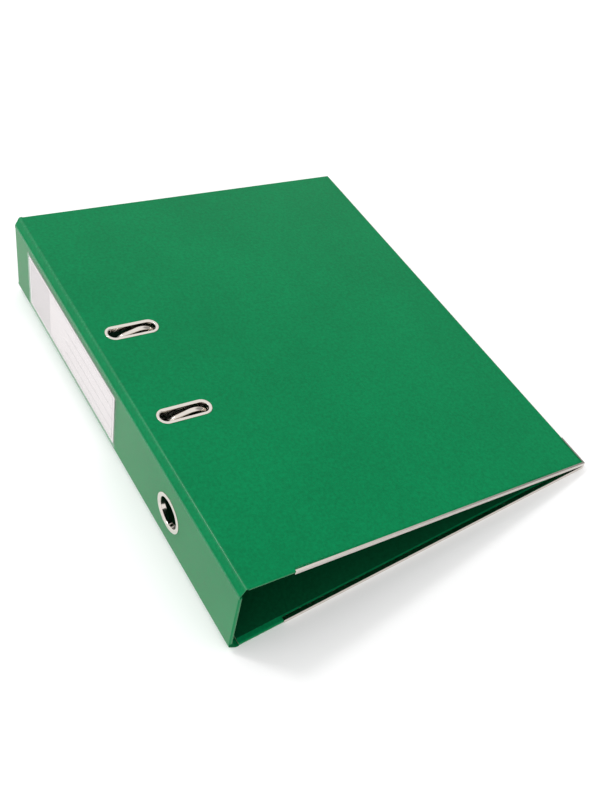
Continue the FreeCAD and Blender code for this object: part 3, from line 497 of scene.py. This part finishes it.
def block(name, low, high):
    """A box between two corners."""
    clear_selection()
    size = [top - bottom for bottom, top in zip(low, high)]
    middle = [(top + bottom) / 2 for bottom, top in zip(low, high)]
    bpy.ops.mesh.primitive_cube_add(size=1, location=middle, scale=size)
    thing = bpy.context.object
    thing.name = name
    bpy.ops.object.transform_apply(location=True, rotation=True, scale=True)
    return thing


def trace(name, points):
    """A line of edges drawn from point to point by extruding one vertex."""
    clear_selection()
    bpy.ops.mesh.primitive_plane_add(size=1)
    thing = bpy.context.object
    thing.name = name
    bpy.ops.object.mode_set(mode="EDIT")
    bpy.ops.mesh.select_mode(type="VERT")
    bpy.ops.mesh.merge(type="CENTER")
    bpy.ops.transform.translate(value=points[0])
    for before, after in zip(points, points[1:]):
        step = Vector(after) - Vector(before)
        bpy.ops.mesh.extrude_vertices_move(TRANSFORM_OT_translate={"value": step})
    return thing


def round_off(radius, steps=CORNER_STEPS):
    """Round the edges that are selected."""
    bpy.ops.mesh.bevel(offset=radius, segments=steps, profile=0.5)


def sweep_round(steps, degrees, centre, axis):
    """Spin what is selected about an axis, by the right-hand rule."""
    bpy.ops.mesh.spin(steps=steps, angle=-math.radians(degrees), center=centre, axis=axis)


def close_up():
    """Merge doubled verts and turn every face outwards."""
    bpy.ops.mesh.select_all(action="SELECT")
    bpy.ops.mesh.remove_doubles(threshold=SPUN_MERGE)
    bpy.ops.mesh.normals_make_consistent(inside=False)
    bpy.ops.object.mode_set(mode="OBJECT")


def apply_modifier(thing, kind, **settings):
    """Add a modifier to a piece and apply it."""
    pick(thing)
    modifier = thing.modifiers.new(kind.title(), kind)
    for key, value in settings.items():
        setattr(modifier, key, value)
    bpy.ops.object.modifier_apply(modifier=modifier.name)


def thicken(thing):
    """Give a sheet the foil's thickness, on its inner side."""
    apply_modifier(thing, "SOLIDIFY", thickness=sizes().foil, offset=-1, use_even_offset=True)


def combine(thing, other, operation):
    """Cut another piece out of one, or unite the two, and take the other away."""
    apply_modifier(thing, "BOOLEAN", operation=operation, solver="EXACT", object=other)
    bpy.data.objects.remove(other)


def join(things, name):
    """Join pieces into one."""
    clear_selection()
    for thing in things:
        thing.select_set(True)
    bpy.context.view_layer.objects.active = things[0]
    bpy.ops.object.join()
    things[0].name = name
    return things[0]


def lay(thing, leaf):
    """Lay a piece modelled in a leaf's own axes in its place."""
    pick(thing)
    thing.matrix_world = leaf_matrix(leaf)
    bpy.ops.object.transform_apply(location=True, rotation=True, scale=True)


def polish(thing, finish):
    """Smooth a piece's shading, keeping its flats flat, and give it a material or a finish by name."""
    pick(thing)
    thing.data.name = thing.name
    bpy.ops.object.shade_smooth_by_angle(angle=SMOOTH_ANGLE)
    apply_modifier(thing, "WEIGHTED_NORMAL", keep_sharp=True, weight=FLAT_WEIGHT)
    thing.data.materials.clear()
    thing.data.materials.append(finish_of(finish) if isinstance(finish, str) else finish)


def copy_of(node, name):
    """A merged copy of a CAD node's mesh, its flats made whole, as the start of a finer piece."""
    clear_selection()
    thing = bpy.data.objects.new(name, frame["nodes"][node].data.copy())
    bpy.context.scene.collection.objects.link(thing)
    edit(thing)
    bpy.ops.mesh.select_all(action="SELECT")
    bpy.ops.mesh.remove_doubles(threshold=CAD_MERGE)
    bpy.ops.mesh.dissolve_limited(angle_limit=FLAT_ANGLE)
    bpy.ops.object.mode_set(mode="OBJECT")
    thing.data.materials.clear()
    return thing


def break_edges(thing, radius, steps=BREAK_STEPS):
    """Round every sharp edge a little, as tumbling does."""
    apply_modifier(thing, "BEVEL", width=radius, segments=steps, limit_method="ANGLE",
                   angle_limit=SHARP_ANGLE, miter_outer="MITER_ARC", harden_normals=False)


def complete(thing, body, finish, *nodes):
    """Polish a piece, make it ride on its body and stand for its CAD nodes."""
    polish(thing, finish)
    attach(thing, body)
    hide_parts(*nodes)


# ---------------------------------------------------------------- openings

Opening = namedtuple("Opening", "middle straight radius")
OPENINGS = {
    "front_cover": ("far_slot", "near_slot"),
    "spine": ("finger_ring",),
    "back_cover": (),
}
LEAF_OF = {opening: leaf for leaf, openings in OPENINGS.items() for opening in openings}
ROUND_STEPS = 16           # faces round half a turn of an eyelet
LEAST_STRAIGHT = 0.1 * MM  # an opening with less of a straight run is round
PLUG_REACH = 10 * MM       # how far an opening's plug reaches to each side of the leaf's outer face


def flange_of(opening):
    """The width of an opening's flange."""
    return sizes().ring_flange if opening == "finger_ring" else sizes().slot_flange


def eyelet_node(opening):
    """The CAD node of an opening's eyelet."""
    return opening if opening == "finger_ring" else opening + "_eyelet"


def clear_opening(opening):
    """The clear opening inside an eyelet, in its leaf's axes."""
    low, high = span(eyelet_node(opening), LEAVES[LEAF_OF[opening]])
    middle = (low + high) / 2
    middle.z = 0
    width = high.y - low.y
    return Opening(middle, high.x - low.x - width, width / 2 - flange_of(opening))


def swept_ring(name, section, opening):
    """Sweep a closed section round an opening. Its points are distances out from the edge and up."""
    half = Vector((opening.straight / 2, 0, 0))
    start = opening.middle + half - Vector((0, opening.radius, 0))
    thing = trace(name, [start + Vector((0, -out, up)) for out, up in section + section[:1]])
    bpy.ops.mesh.select_all(action="SELECT")
    if opening.straight < LEAST_STRAIGHT:
        sweep_round(4 * ROUND_STEPS, 360, opening.middle, UP)
    else:
        for side in (1, -1):
            sweep_round(ROUND_STEPS, 180, opening.middle + side * half, UP)
            bpy.ops.mesh.extrude_region_move(TRANSFORM_OT_translate={"value": -2 * side * half})
    close_up()
    return thing


def opening_plug(opening, spare):
    """A round-ended plug, wider than the opening by some spare, to cut its hole with."""
    clear_selection()
    bpy.ops.mesh.primitive_cylinder_add(vertices=2 * ROUND_STEPS, radius=spare + opening.radius,
                                        depth=2 * PLUG_REACH, location=opening.middle)
    thing = bpy.context.object
    bpy.ops.object.transform_apply(location=True, rotation=True, scale=True)
    edit(thing)
    for side in (1, -1):
        choose("VERT", lambda vert: side * (vert.co.x - opening.middle.x) > SAME_PLACE)
        bpy.ops.transform.translate(value=(side * opening.straight / 2, 0, 0))
    bpy.ops.object.mode_set(mode="OBJECT")
    return thing


def rounded(centre, radius, start, end, steps=CORNER_STEPS):
    """Points along an arc, for a section."""
    points = []
    for step in range(steps + 1):
        angle = math.radians(start + (end - start) * step / steps)
        points.append((centre[0] + radius * math.cos(angle), centre[1] + radius * math.sin(angle)))
    return points


MOUTH_ROLL = 1.5           # radius of an eyelet's mouth, as a share of its flange's rise
RIM_ROLL = 0.6             # radius of its rim, as a share of the rise
CLINCH = 2.2               # how far its foot is turned out, in walls of its collar


def eyelet_section(flange, rise, depth, collar):
    """An eyelet's section: clinched foot, collar, rolled mouth and a flange turned down at its rim."""
    mouth = MOUTH_ROLL * rise
    rim = RIM_ROLL * rise
    clinch = CLINCH * collar
    return [
        (clinch, -depth - collar),
        (collar / 2, -depth - collar),
        (0, -depth),
        *rounded((mouth, rise - mouth), mouth, 180, 90),
        *rounded((flange - rim, rise - rim), rim, 90, 0),
        (flange, 0),
        (collar, 0),
        (collar, -depth),
        (clinch, -depth),
    ]


# ---------------------------------------------------------------- operators

LINING_STEPS = 2           # faces round the lining's softened edge
LINING_EDGE = 0.7          # radius of that edge, as a share of the lining's thickness


class FILE_OT_covers(bpy.types.Operator):
    """Wrap the three boards in foil, with rounded edges and turn-ins, and line them"""

    bl_idname = "lever_arch.covers"
    bl_label = "Covers and spine"

    def execute(self, context):
        for leaf, key in (("front_cover", "front"), ("spine", "spine"), ("back_cover", "back")):
            self.cover(self.wrap(leaf, key), leaf, "embossed_polypropylene", f"{key}_outer_foil")
            self.cover(self.line(leaf, key), leaf, "lining_polypropylene", f"{key}_lining")
        return {"FINISHED"}

    def cover(self, thing, leaf, finish, node):
        """Cut a sheet's holes and put it in place."""
        for opening in OPENINGS[leaf]:
            combine(thing, opening_plug(clear_opening(opening), sizes().collar), "DIFFERENCE")
        lay(thing, LEAVES[leaf])
        complete(thing, leaf, finish, node)

    def wrap(self, leaf, key):
        """Fold a sheet of foil round a board, its mouth turned in, and carry it on to the creases."""
        low, high = span(f"{key}_outer_foil", LEAVES[leaf])
        board_low, board_high = span(f"{key}_board", LEAVES[leaf])
        foil = sizes().foil
        ends = {-1: board_low.x - foil, 1: board_high.x + foil}
        free = {-1: leaf == "back_cover", 1: leaf == "front_cover"}
        thing = block(f"{key}_cover_foil", (ends[-1], low.y, low.z), (ends[1], high.y, high.z))
        edit(thing)
        choose("FACE", lambda face: near(face.calc_center_median().z, low.z))
        bpy.ops.mesh.inset(thickness=sizes().turn_in)
        bpy.ops.mesh.delete(type="FACE")
        rims = [(1, low.y), (1, high.y)] + [(0, ends[side]) for side in ends if free[side]]
        choose("EDGE", lambda edge: not edge.is_boundary
               and any(whole_edge(edge, *rim) for rim in rims))
        round_off(sizes().board_edge)
        bpy.ops.object.mode_set(mode="OBJECT")
        thicken(thing)
        creases = {-1: low.x - sizes().crease_gap, 1: high.x + sizes().crease_gap}
        for side in (-1, 1):
            if not free[side]:
                reach = (ends[side] - side * foil / 2, creases[side] - side * sizes().crease_reach)
                hem = block("hem", (min(reach), low.y, high.z - foil), (max(reach), high.y, high.z))
                combine(thing, hem, "UNION")
        return thing

    def line(self, leaf, key):
        """Lay the lining on the inner face."""
        low, high = span(f"{key}_lining", LEAVES[leaf])
        foil_low = span(f"{key}_outer_foil", LEAVES[leaf])[0]
        thing = block(f"{key}_cover_lining", low, (high.x, high.y, foil_low.z))
        edit(thing)
        choose("EDGE", lambda edge: whole_edge(edge, 2, low.z))
        round_off(LINING_EDGE * (foil_low.z - low.z), LINING_STEPS)
        bpy.ops.object.mode_set(mode="OBJECT")
        return thing


STRIP_BORDER = 0.5 * MM    # flat border of a hinge strip round its pressed middle
CREASE_STEPS = 10          # faces round a crease


class FILE_OT_hinges(bpy.types.Operator):
    """Make the two welded hinge strips and the four soft creases that join the leaves"""

    bl_idname = "lever_arch.hinges"
    bl_label = "Hinge strips and creases"

    def execute(self, context):
        reach = sizes().crease_reach
        for leaf in ("back_hinge", "front_hinge"):
            low, high = span(f"{leaf}_strip", LEAVES[leaf])
            gap = sizes().crease_gap
            thing = block(f"{leaf}_foil", (low.x - gap + reach, low.y, low.z),
                          (high.x + gap - reach, high.y, high.z))
            edit(thing)
            for side in (-1, 1):
                choose("FACE", lambda face: side * face.normal.z > ALIGNED)
                bpy.ops.mesh.inset(thickness=STRIP_BORDER)
                bpy.ops.mesh.inset(thickness=STRIP_BORDER / 2)
                if side > 0:
                    bpy.ops.transform.translate(value=(0, 0, -sizes().strip_dip))
            bpy.ops.object.mode_set(mode="OBJECT")
            lay(thing, LEAVES[leaf])
            complete(thing, leaf, "embossed_polypropylene", f"{leaf}_strip")
        chain = ("back_cover", "back_hinge", "spine", "front_hinge", "front_cover")
        places = (BACK_CREASE, SPINE_FOOT, SPINE_HEAD, FRONT_CREASE)
        for place, before, after in zip(places, chain, chain[1:]):
            self.crease(place, before, after)
        return {"FINISHED"}

    def crease(self, place, before, after):
        """A sheet bent softly round a crease, spun from its first edge."""
        reach = sizes().crease_reach
        into = -LEAVES[before].along
        turn = LEAVES[before].out.angle(LEAVES[after].out)
        radius = reach / math.tan(turn / 2)
        centre = place + into * reach - LEAVES[before].out * radius
        low, high = span("back_outer_foil")
        first = place + into * reach
        thing = trace(f"{before}_to_{after}_crease",
                      [Vector((first.x, low.y, first.z)), Vector((first.x, high.y, first.z))])
        bpy.ops.mesh.select_all(action="SELECT")
        sweep_round(CREASE_STEPS, math.degrees(turn), centre, ACROSS)
        bpy.ops.object.mode_set(mode="OBJECT")
        face = thing.data.polygons[0]
        if face.normal.dot(LEAVES[before].out) < 0:
            edit(thing)
            bpy.ops.mesh.select_all(action="SELECT")
            bpy.ops.mesh.flip_normals()
            bpy.ops.object.mode_set(mode="OBJECT")
        thicken(thing)
        polish(thing, "welded_polypropylene")
        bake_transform(thing)


SHOE_STEPS = 3             # faces round a shoe's softened edges


class FILE_OT_shoes(bpy.types.Operator):
    """Fold the two edge shoes, with softened edges"""

    bl_idname = "lever_arch.shoes"
    bl_label = "Edge shoes"

    def execute(self, context):
        for key in ("front", "back"):
            thing = copy_of(f"{key}_edge_shoe", f"{key}_shoe")
            break_edges(thing, sizes().edge_break, SHOE_STEPS)
            complete(thing, f"{key}_cover", "nickel_plated_steel", f"{key}_edge_shoe")
        return {"FINISHED"}


class FILE_OT_eyelets(bpy.types.Operator):
    """Press the slot eyelets and the finger ring, and the rings behind them"""

    bl_idname = "lever_arch.eyelets"
    bl_label = "Eyelets and finger ring"

    def execute(self, context):
        for opening, leaf in LEAF_OF.items():
            node = eyelet_node(opening)
            hole = clear_opening(opening)
            low, high = span(node, LEAVES[leaf])
            collar = sizes().collar
            section = eyelet_section(flange_of(opening), high.z, -low.z, collar)
            self.seat(swept_ring(f"{opening}_pressing", section, hole), leaf, node)
            back = f"{opening}_backing"
            low, high = span(back, LEAVES[leaf])
            width = (high.y - low.y) / 2 - hole.radius
            edge = (high.z - low.z) / 3
            washer = [(collar, high.z), (width - edge, high.z), (width, high.z - edge),
                      (width, low.z + edge), (width - edge, low.z), (collar, low.z)]
            self.seat(swept_ring(f"{opening}_washer", washer, hole), leaf, back)
        return {"FINISHED"}

    def seat(self, thing, leaf, node):
        """Put one ring in place."""
        lay(thing, LEAVES[leaf])
        complete(thing, leaf, "nickel_plated_steel", node)


class FILE_OT_label(bpy.types.Operator):
    """Cut the label card and weld its clear pocket to the spine"""

    bl_idname = "lever_arch.label"
    bl_label = "Label and pocket"

    def execute(self, context):
        spine = LEAVES["spine"]
        low, high = span("label_card", spine)
        card = block("printed_label", low, high)
        edit(card)
        choose("EDGE", lambda edge: abs(edge_direction(edge).z) > ALIGNED)
        round_off(sizes().card_corner)
        bpy.ops.object.mode_set(mode="OBJECT")
        self.chart(card, low, high)
        lay(card, spine)
        size = (high.x - low.x, high.y - low.y)
        paper = printed_card("offset_printed_card", colours().card[:], colours().ruling[:], size,
                             sizes().frame_line)
        polish(card, paper)
        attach(card, "label")
        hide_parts("label_card")
        pocket = copy_of("label_pocket", "label_sleeve")
        complete(pocket, "spine", "clear_polypropylene", "label_pocket")
        return {"FINISHED"}

    def chart(self, card, low, high):
        """Give the card a UV map that runs from 0 to 1 across it and along it."""
        layer = card.data.uv_layers.active or card.data.uv_layers.new(name="print")
        for loop in card.data.loops:
            place = card.data.vertices[loop.vertex_index].co
            layer.data[loop.index].uv = ((place.x - low.x) / (high.x - low.x),
                                         (place.y - low.y) / (high.y - low.y))


def turned(name, outline, centre, axis):
    """Turn a piece from an outline of radius and height pairs, closed or with its ends on the axis."""
    side = Vector((1, 0, 0))
    thing = trace(name, [centre + side * radius + axis * height for radius, height in outline])
    bpy.ops.mesh.select_all(action="SELECT")
    sweep_round(TURN_STEPS, 360, centre, axis)
    close_up()
    return thing


def pressed(node, name, body, finish):
    """A pressed or formed part: the CAD node's own shape with its edges broken."""
    thing = copy_of(node, name)
    break_edges(thing, sizes().edge_break)
    complete(thing, body, finish, node)


class FILE_OT_base(bpy.types.Operator):
    """Finish the base plate, its rivets, the lever's pin and the posts"""

    bl_idname = "lever_arch.base"
    bl_label = "Base plate and posts"

    def execute(self, context):
        pressed("base_plate", "pressed_base", "back_cover", "nickel_plated_sheet")
        for side in ("near", "far"):
            pressed(f"{side}_post", f"{side}_paper_post", "back_cover", "nickel_plated_steel")
        self.rivets()
        self.pin()
        return {"FINISHED"}

    def rivets(self):
        """Four rivets: a domed head inside, a shank and a flat head let into the cover."""
        low, high = span("base_rivets")
        top = high.z
        head = sizes().rivet_head
        dome = sizes().rivet_dome
        plate = top - dome
        sphere = (head ** 2 + dome ** 2) / (2 * dome)
        arc = math.degrees(math.asin(head / sphere))
        crown = rounded((0, top - sphere), sphere, 90, 90 - arc, 2 * CORNER_STEPS)
        flat = sizes().rivet_flat
        outline = crown + [(sizes().rivet_shank, plate), (sizes().rivet_shank, flat), (head, flat),
                           (head, flat / 4), (head - flat / 4, 0), (0, 0)]
        things = []
        for x in (low.x + head, high.x - head):
            for y in (low.y + head, high.y - head):
                things.append(turned("plate_rivet", outline, Vector((x, y, 0)), UP))
        complete(join(things, "plate_rivets"), "back_cover", "nickel_plated_steel", "base_rivets")

    def pin(self):
        """The lever's pin, with a domed head at each end."""
        low, high = span("lever_pin")
        head = (high.z - low.z) / 2
        cap = sizes().pin_head
        half = (high.y - low.y) / 2
        shank = sizes().pin_shank
        outline = [(0, -half), *rounded((head - cap, cap - half), cap, 270, 360),
                   (shank, cap - half), (shank, half - cap),
                   *rounded((head - cap, half - cap), cap, 0, 90), (0, half)]
        thing = turned("pivot_pin", outline, (low + high) / 2, ACROSS)
        complete(thing, "back_cover", "nickel_plated_steel", "lever_pin")


class FILE_OT_arches(bpy.types.Operator):
    """Plate the bent arch wire"""

    bl_idname = "lever_arch.arches"
    bl_label = "Arch wire"

    def execute(self, context):
        thing = copy_of("arch_wire", "bent_arches")
        complete(thing, "arches", "nickel_plated_steel", "arch_wire")
        return {"FINISHED"}


class FILE_OT_lever(bpy.types.Operator):
    """Finish the lever, its roller and the roller's axle"""

    bl_idname = "lever_arch.lever"
    bl_label = "Lever and roller"

    def execute(self, context):
        pressed("lever_arm", "folded_lever", "lever", "nickel_plated_sheet")
        low, high = span("roller_axle")
        radius = (high.z - low.z) / 2
        half = (high.y - low.y) / 2
        soft = radius / 3
        outline = [(0, -half), *rounded((radius - soft, soft - half), soft, 270, 360),
                   *rounded((radius - soft, half - soft), soft, 0, 90), (0, half)]
        axle = turned("axle_rod", outline, (low + high) / 2, ACROSS)
        complete(axle, "lever", "nickel_plated_steel", "roller_axle")
        bore = radius + sizes().running_play
        low, high = span("pressure_roller")
        radius = (high.z - low.z) / 2
        half = (high.y - low.y) / 2
        soft = sizes().roller_edge
        groove = 2 * soft
        outline = [(bore, -half), *rounded((radius - soft, soft - half), soft, 270, 360),
                   (radius, -groove), (radius - soft, -groove / 2),
                   (radius - soft, groove / 2), (radius, groove),
                   *rounded((radius - soft, half - soft), soft, 0, 90), (bore, half), (bore, -half)]
        roller = turned("grooved_roller", outline, (low + high) / 2, ACROSS)
        complete(roller, "roller", "nickel_plated_steel", "pressure_roller")
        return {"FINISHED"}


class FILE_OT_compressor(bpy.types.Operator):
    """Finish the compressor bar, its lock plate and its rivets"""

    bl_idname = "lever_arch.compressor"
    bl_label = "Compressor"

    def execute(self, context):
        pressed("compressor_bar", "paper_bar", "compressor", "nickel_plated_sheet")
        pressed("compressor_lock", "lock_plate", "lock", "nickel_plated_sheet")
        low, high = span("compressor_rivets")
        head = (high.x - low.x) / 2
        cap = sizes().guide_cap
        shank = sizes().guide_shank
        outline = [(0, high.z), *rounded((head - cap, high.z - cap), cap, 90, 0),
                   (shank, high.z - cap), (shank, low.z), (0, low.z)]
        things = []
        for y in (low.y + head, high.y - head):
            things.append(turned("guide_rivet", outline, Vector((low.x + head, y, 0)), UP))
        complete(join(things, "guide_rivets"), "compressor", "nickel_plated_steel", "compressor_rivets")
        return {"FINISHED"}


class FILE_OT_boards(bpy.types.Operator):
    """Give the greyboards inside the covers their finish"""

    bl_idname = "lever_arch.boards"
    bl_label = "Greyboards"

    def execute(self, context):
        for node in ("front_board", "spine_board", "back_board"):
            mesh = frame["nodes"][node].data
            mesh.materials.clear()
            mesh.materials.append(finish_of("greyboard"))
        return {"FINISHED"}


FLOOR_SIZE = 8.0                                # metres
FLOOR_DROP = 0.05 * MM                          # the floor is this much below the file
FLOOR_ROUGHNESS = 0.7
ROOM_LIGHT = 1.16                               # strength of the tent's light
DARK_LIGHT = 0.4                                # and of its open side's
DARK_SIDE = (0.6, 0.8)                          # X of the directions where one becomes the other
SOFTBOXES = (                                   # name, place and size in metres, power in watts
    ("key_softbox", (-0.75, 0.85, 1.9), 0.3, 9),
)
CAMERA_LENS = 45.865                            # millimetres
SENSOR = 36                                     # millimetres, along the picture's longer side
CAMERA_PLACE = (-0.26772, -0.40686, 0.59065)    # metres
CAMERA_TURN = (37.995, -3.215, -30.613)         # degrees: tilt, roll and heading


class FILE_OT_stage(bpy.types.Operator):
    """Set a plain pale floor, soft studio light and the camera"""

    bl_idname = "lever_arch.stage"
    bl_label = "Stage, light and camera"

    def execute(self, context):
        self.floor()
        for softbox in SOFTBOXES:
            self.light(*softbox)
        context.scene.world = self.tent()
        context.scene.view_settings.view_transform = "Standard"
        self.camera(context.scene)
        return {"FINISHED"}

    def tent(self):
        """A tent of white light with one open, darker side."""
        world = bpy.data.worlds.new("light_tent")
        world.use_nodes = True
        tree = world.node_tree
        facing = add(tree, "SeparateXYZ", {"Vector": coordinates(tree, "Generated")})
        strength = spread(tree, facing.outputs["X"], ROOM_LIGHT, DARK_LIGHT, *DARK_SIDE)
        backdrop = tree.nodes["Background"]
        backdrop.inputs["Color"].default_value = grey(1.0)
        tree.links.new(strength, backdrop.inputs["Strength"])
        return world

    def floor(self):
        """A wide plain floor."""
        clear_selection()
        bpy.ops.mesh.primitive_plane_add(size=FLOOR_SIZE, location=(0, 0, -FLOOR_DROP))
        thing = bpy.context.object
        thing.name = "studio_floor"
        material, tree = new_material("matt_white_floor")
        surface(tree, colours().floor[:], FLOOR_ROUGHNESS)
        thing.data.materials.append(material)

    def light(self, name, place, size, power):
        """A square softbox turned to the file."""
        data = bpy.data.lights.new(name, "AREA")
        data.size = size
        data.energy = power
        lamp = bpy.data.objects.new(name, data)
        bpy.context.scene.collection.objects.link(lamp)
        lamp.location = place
        lamp.rotation_euler = (-Vector(place)).to_track_quat("-Z", "Y").to_euler()

    def camera(self, scene):
        """A camera that looks down on the spine and the bottom edge."""
        data = bpy.data.cameras.new("camera")
        data.lens = CAMERA_LENS
        data.sensor_width = SENSOR
        camera = bpy.data.objects.new("camera", data)
        scene.collection.objects.link(camera)
        camera.location = CAMERA_PLACE
        camera.rotation_euler = [math.radians(angle) for angle in CAMERA_TURN]
        scene.camera = camera


class FILE_PT_panel(bpy.types.Panel):
    """Lists the steps, the sizes and the colours"""

    bl_idname = "FILE_PT_lever_arch"
    bl_label = "Lever Arch File"
    bl_space_type = "VIEW_3D"
    bl_region_type = "UI"
    bl_category = "Lever Arch File"

    def draw(self, context):
        for step in STEPS:
            self.layout.operator(step.bl_idname)
        for group in (sizes(), colours()):
            for name in type(group).__annotations__:
                self.layout.prop(group, name)


STEPS = (
    FILE_OT_covers,
    FILE_OT_hinges,
    FILE_OT_shoes,
    FILE_OT_eyelets,
    FILE_OT_label,
    FILE_OT_base,
    FILE_OT_arches,
    FILE_OT_lever,
    FILE_OT_compressor,
    FILE_OT_boards,
    FILE_OT_stage,
)
CLASSES = (FileSizes, FileColours, *STEPS, FILE_PT_panel)


def register():
    """Register the classes and the scene's settings."""
    for each in CLASSES:
        bpy.utils.register_class(each)
    bpy.types.Scene.lever_arch_sizes = PointerProperty(type=FileSizes)
    bpy.types.Scene.lever_arch_colours = PointerProperty(type=FileColours)


def unregister():
    """Take the scene's settings and the classes away."""
    del bpy.types.Scene.lever_arch_sizes
    del bpy.types.Scene.lever_arch_colours
    for each in reversed(CLASSES):
        bpy.utils.unregister_class(each)


def main():
    """Build everything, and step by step."""
    register()
    for step in STEPS:
        group, name = step.bl_idname.split(".")
        getattr(getattr(bpy.ops, group), name)()


if __name__ == "__main__":
    main()
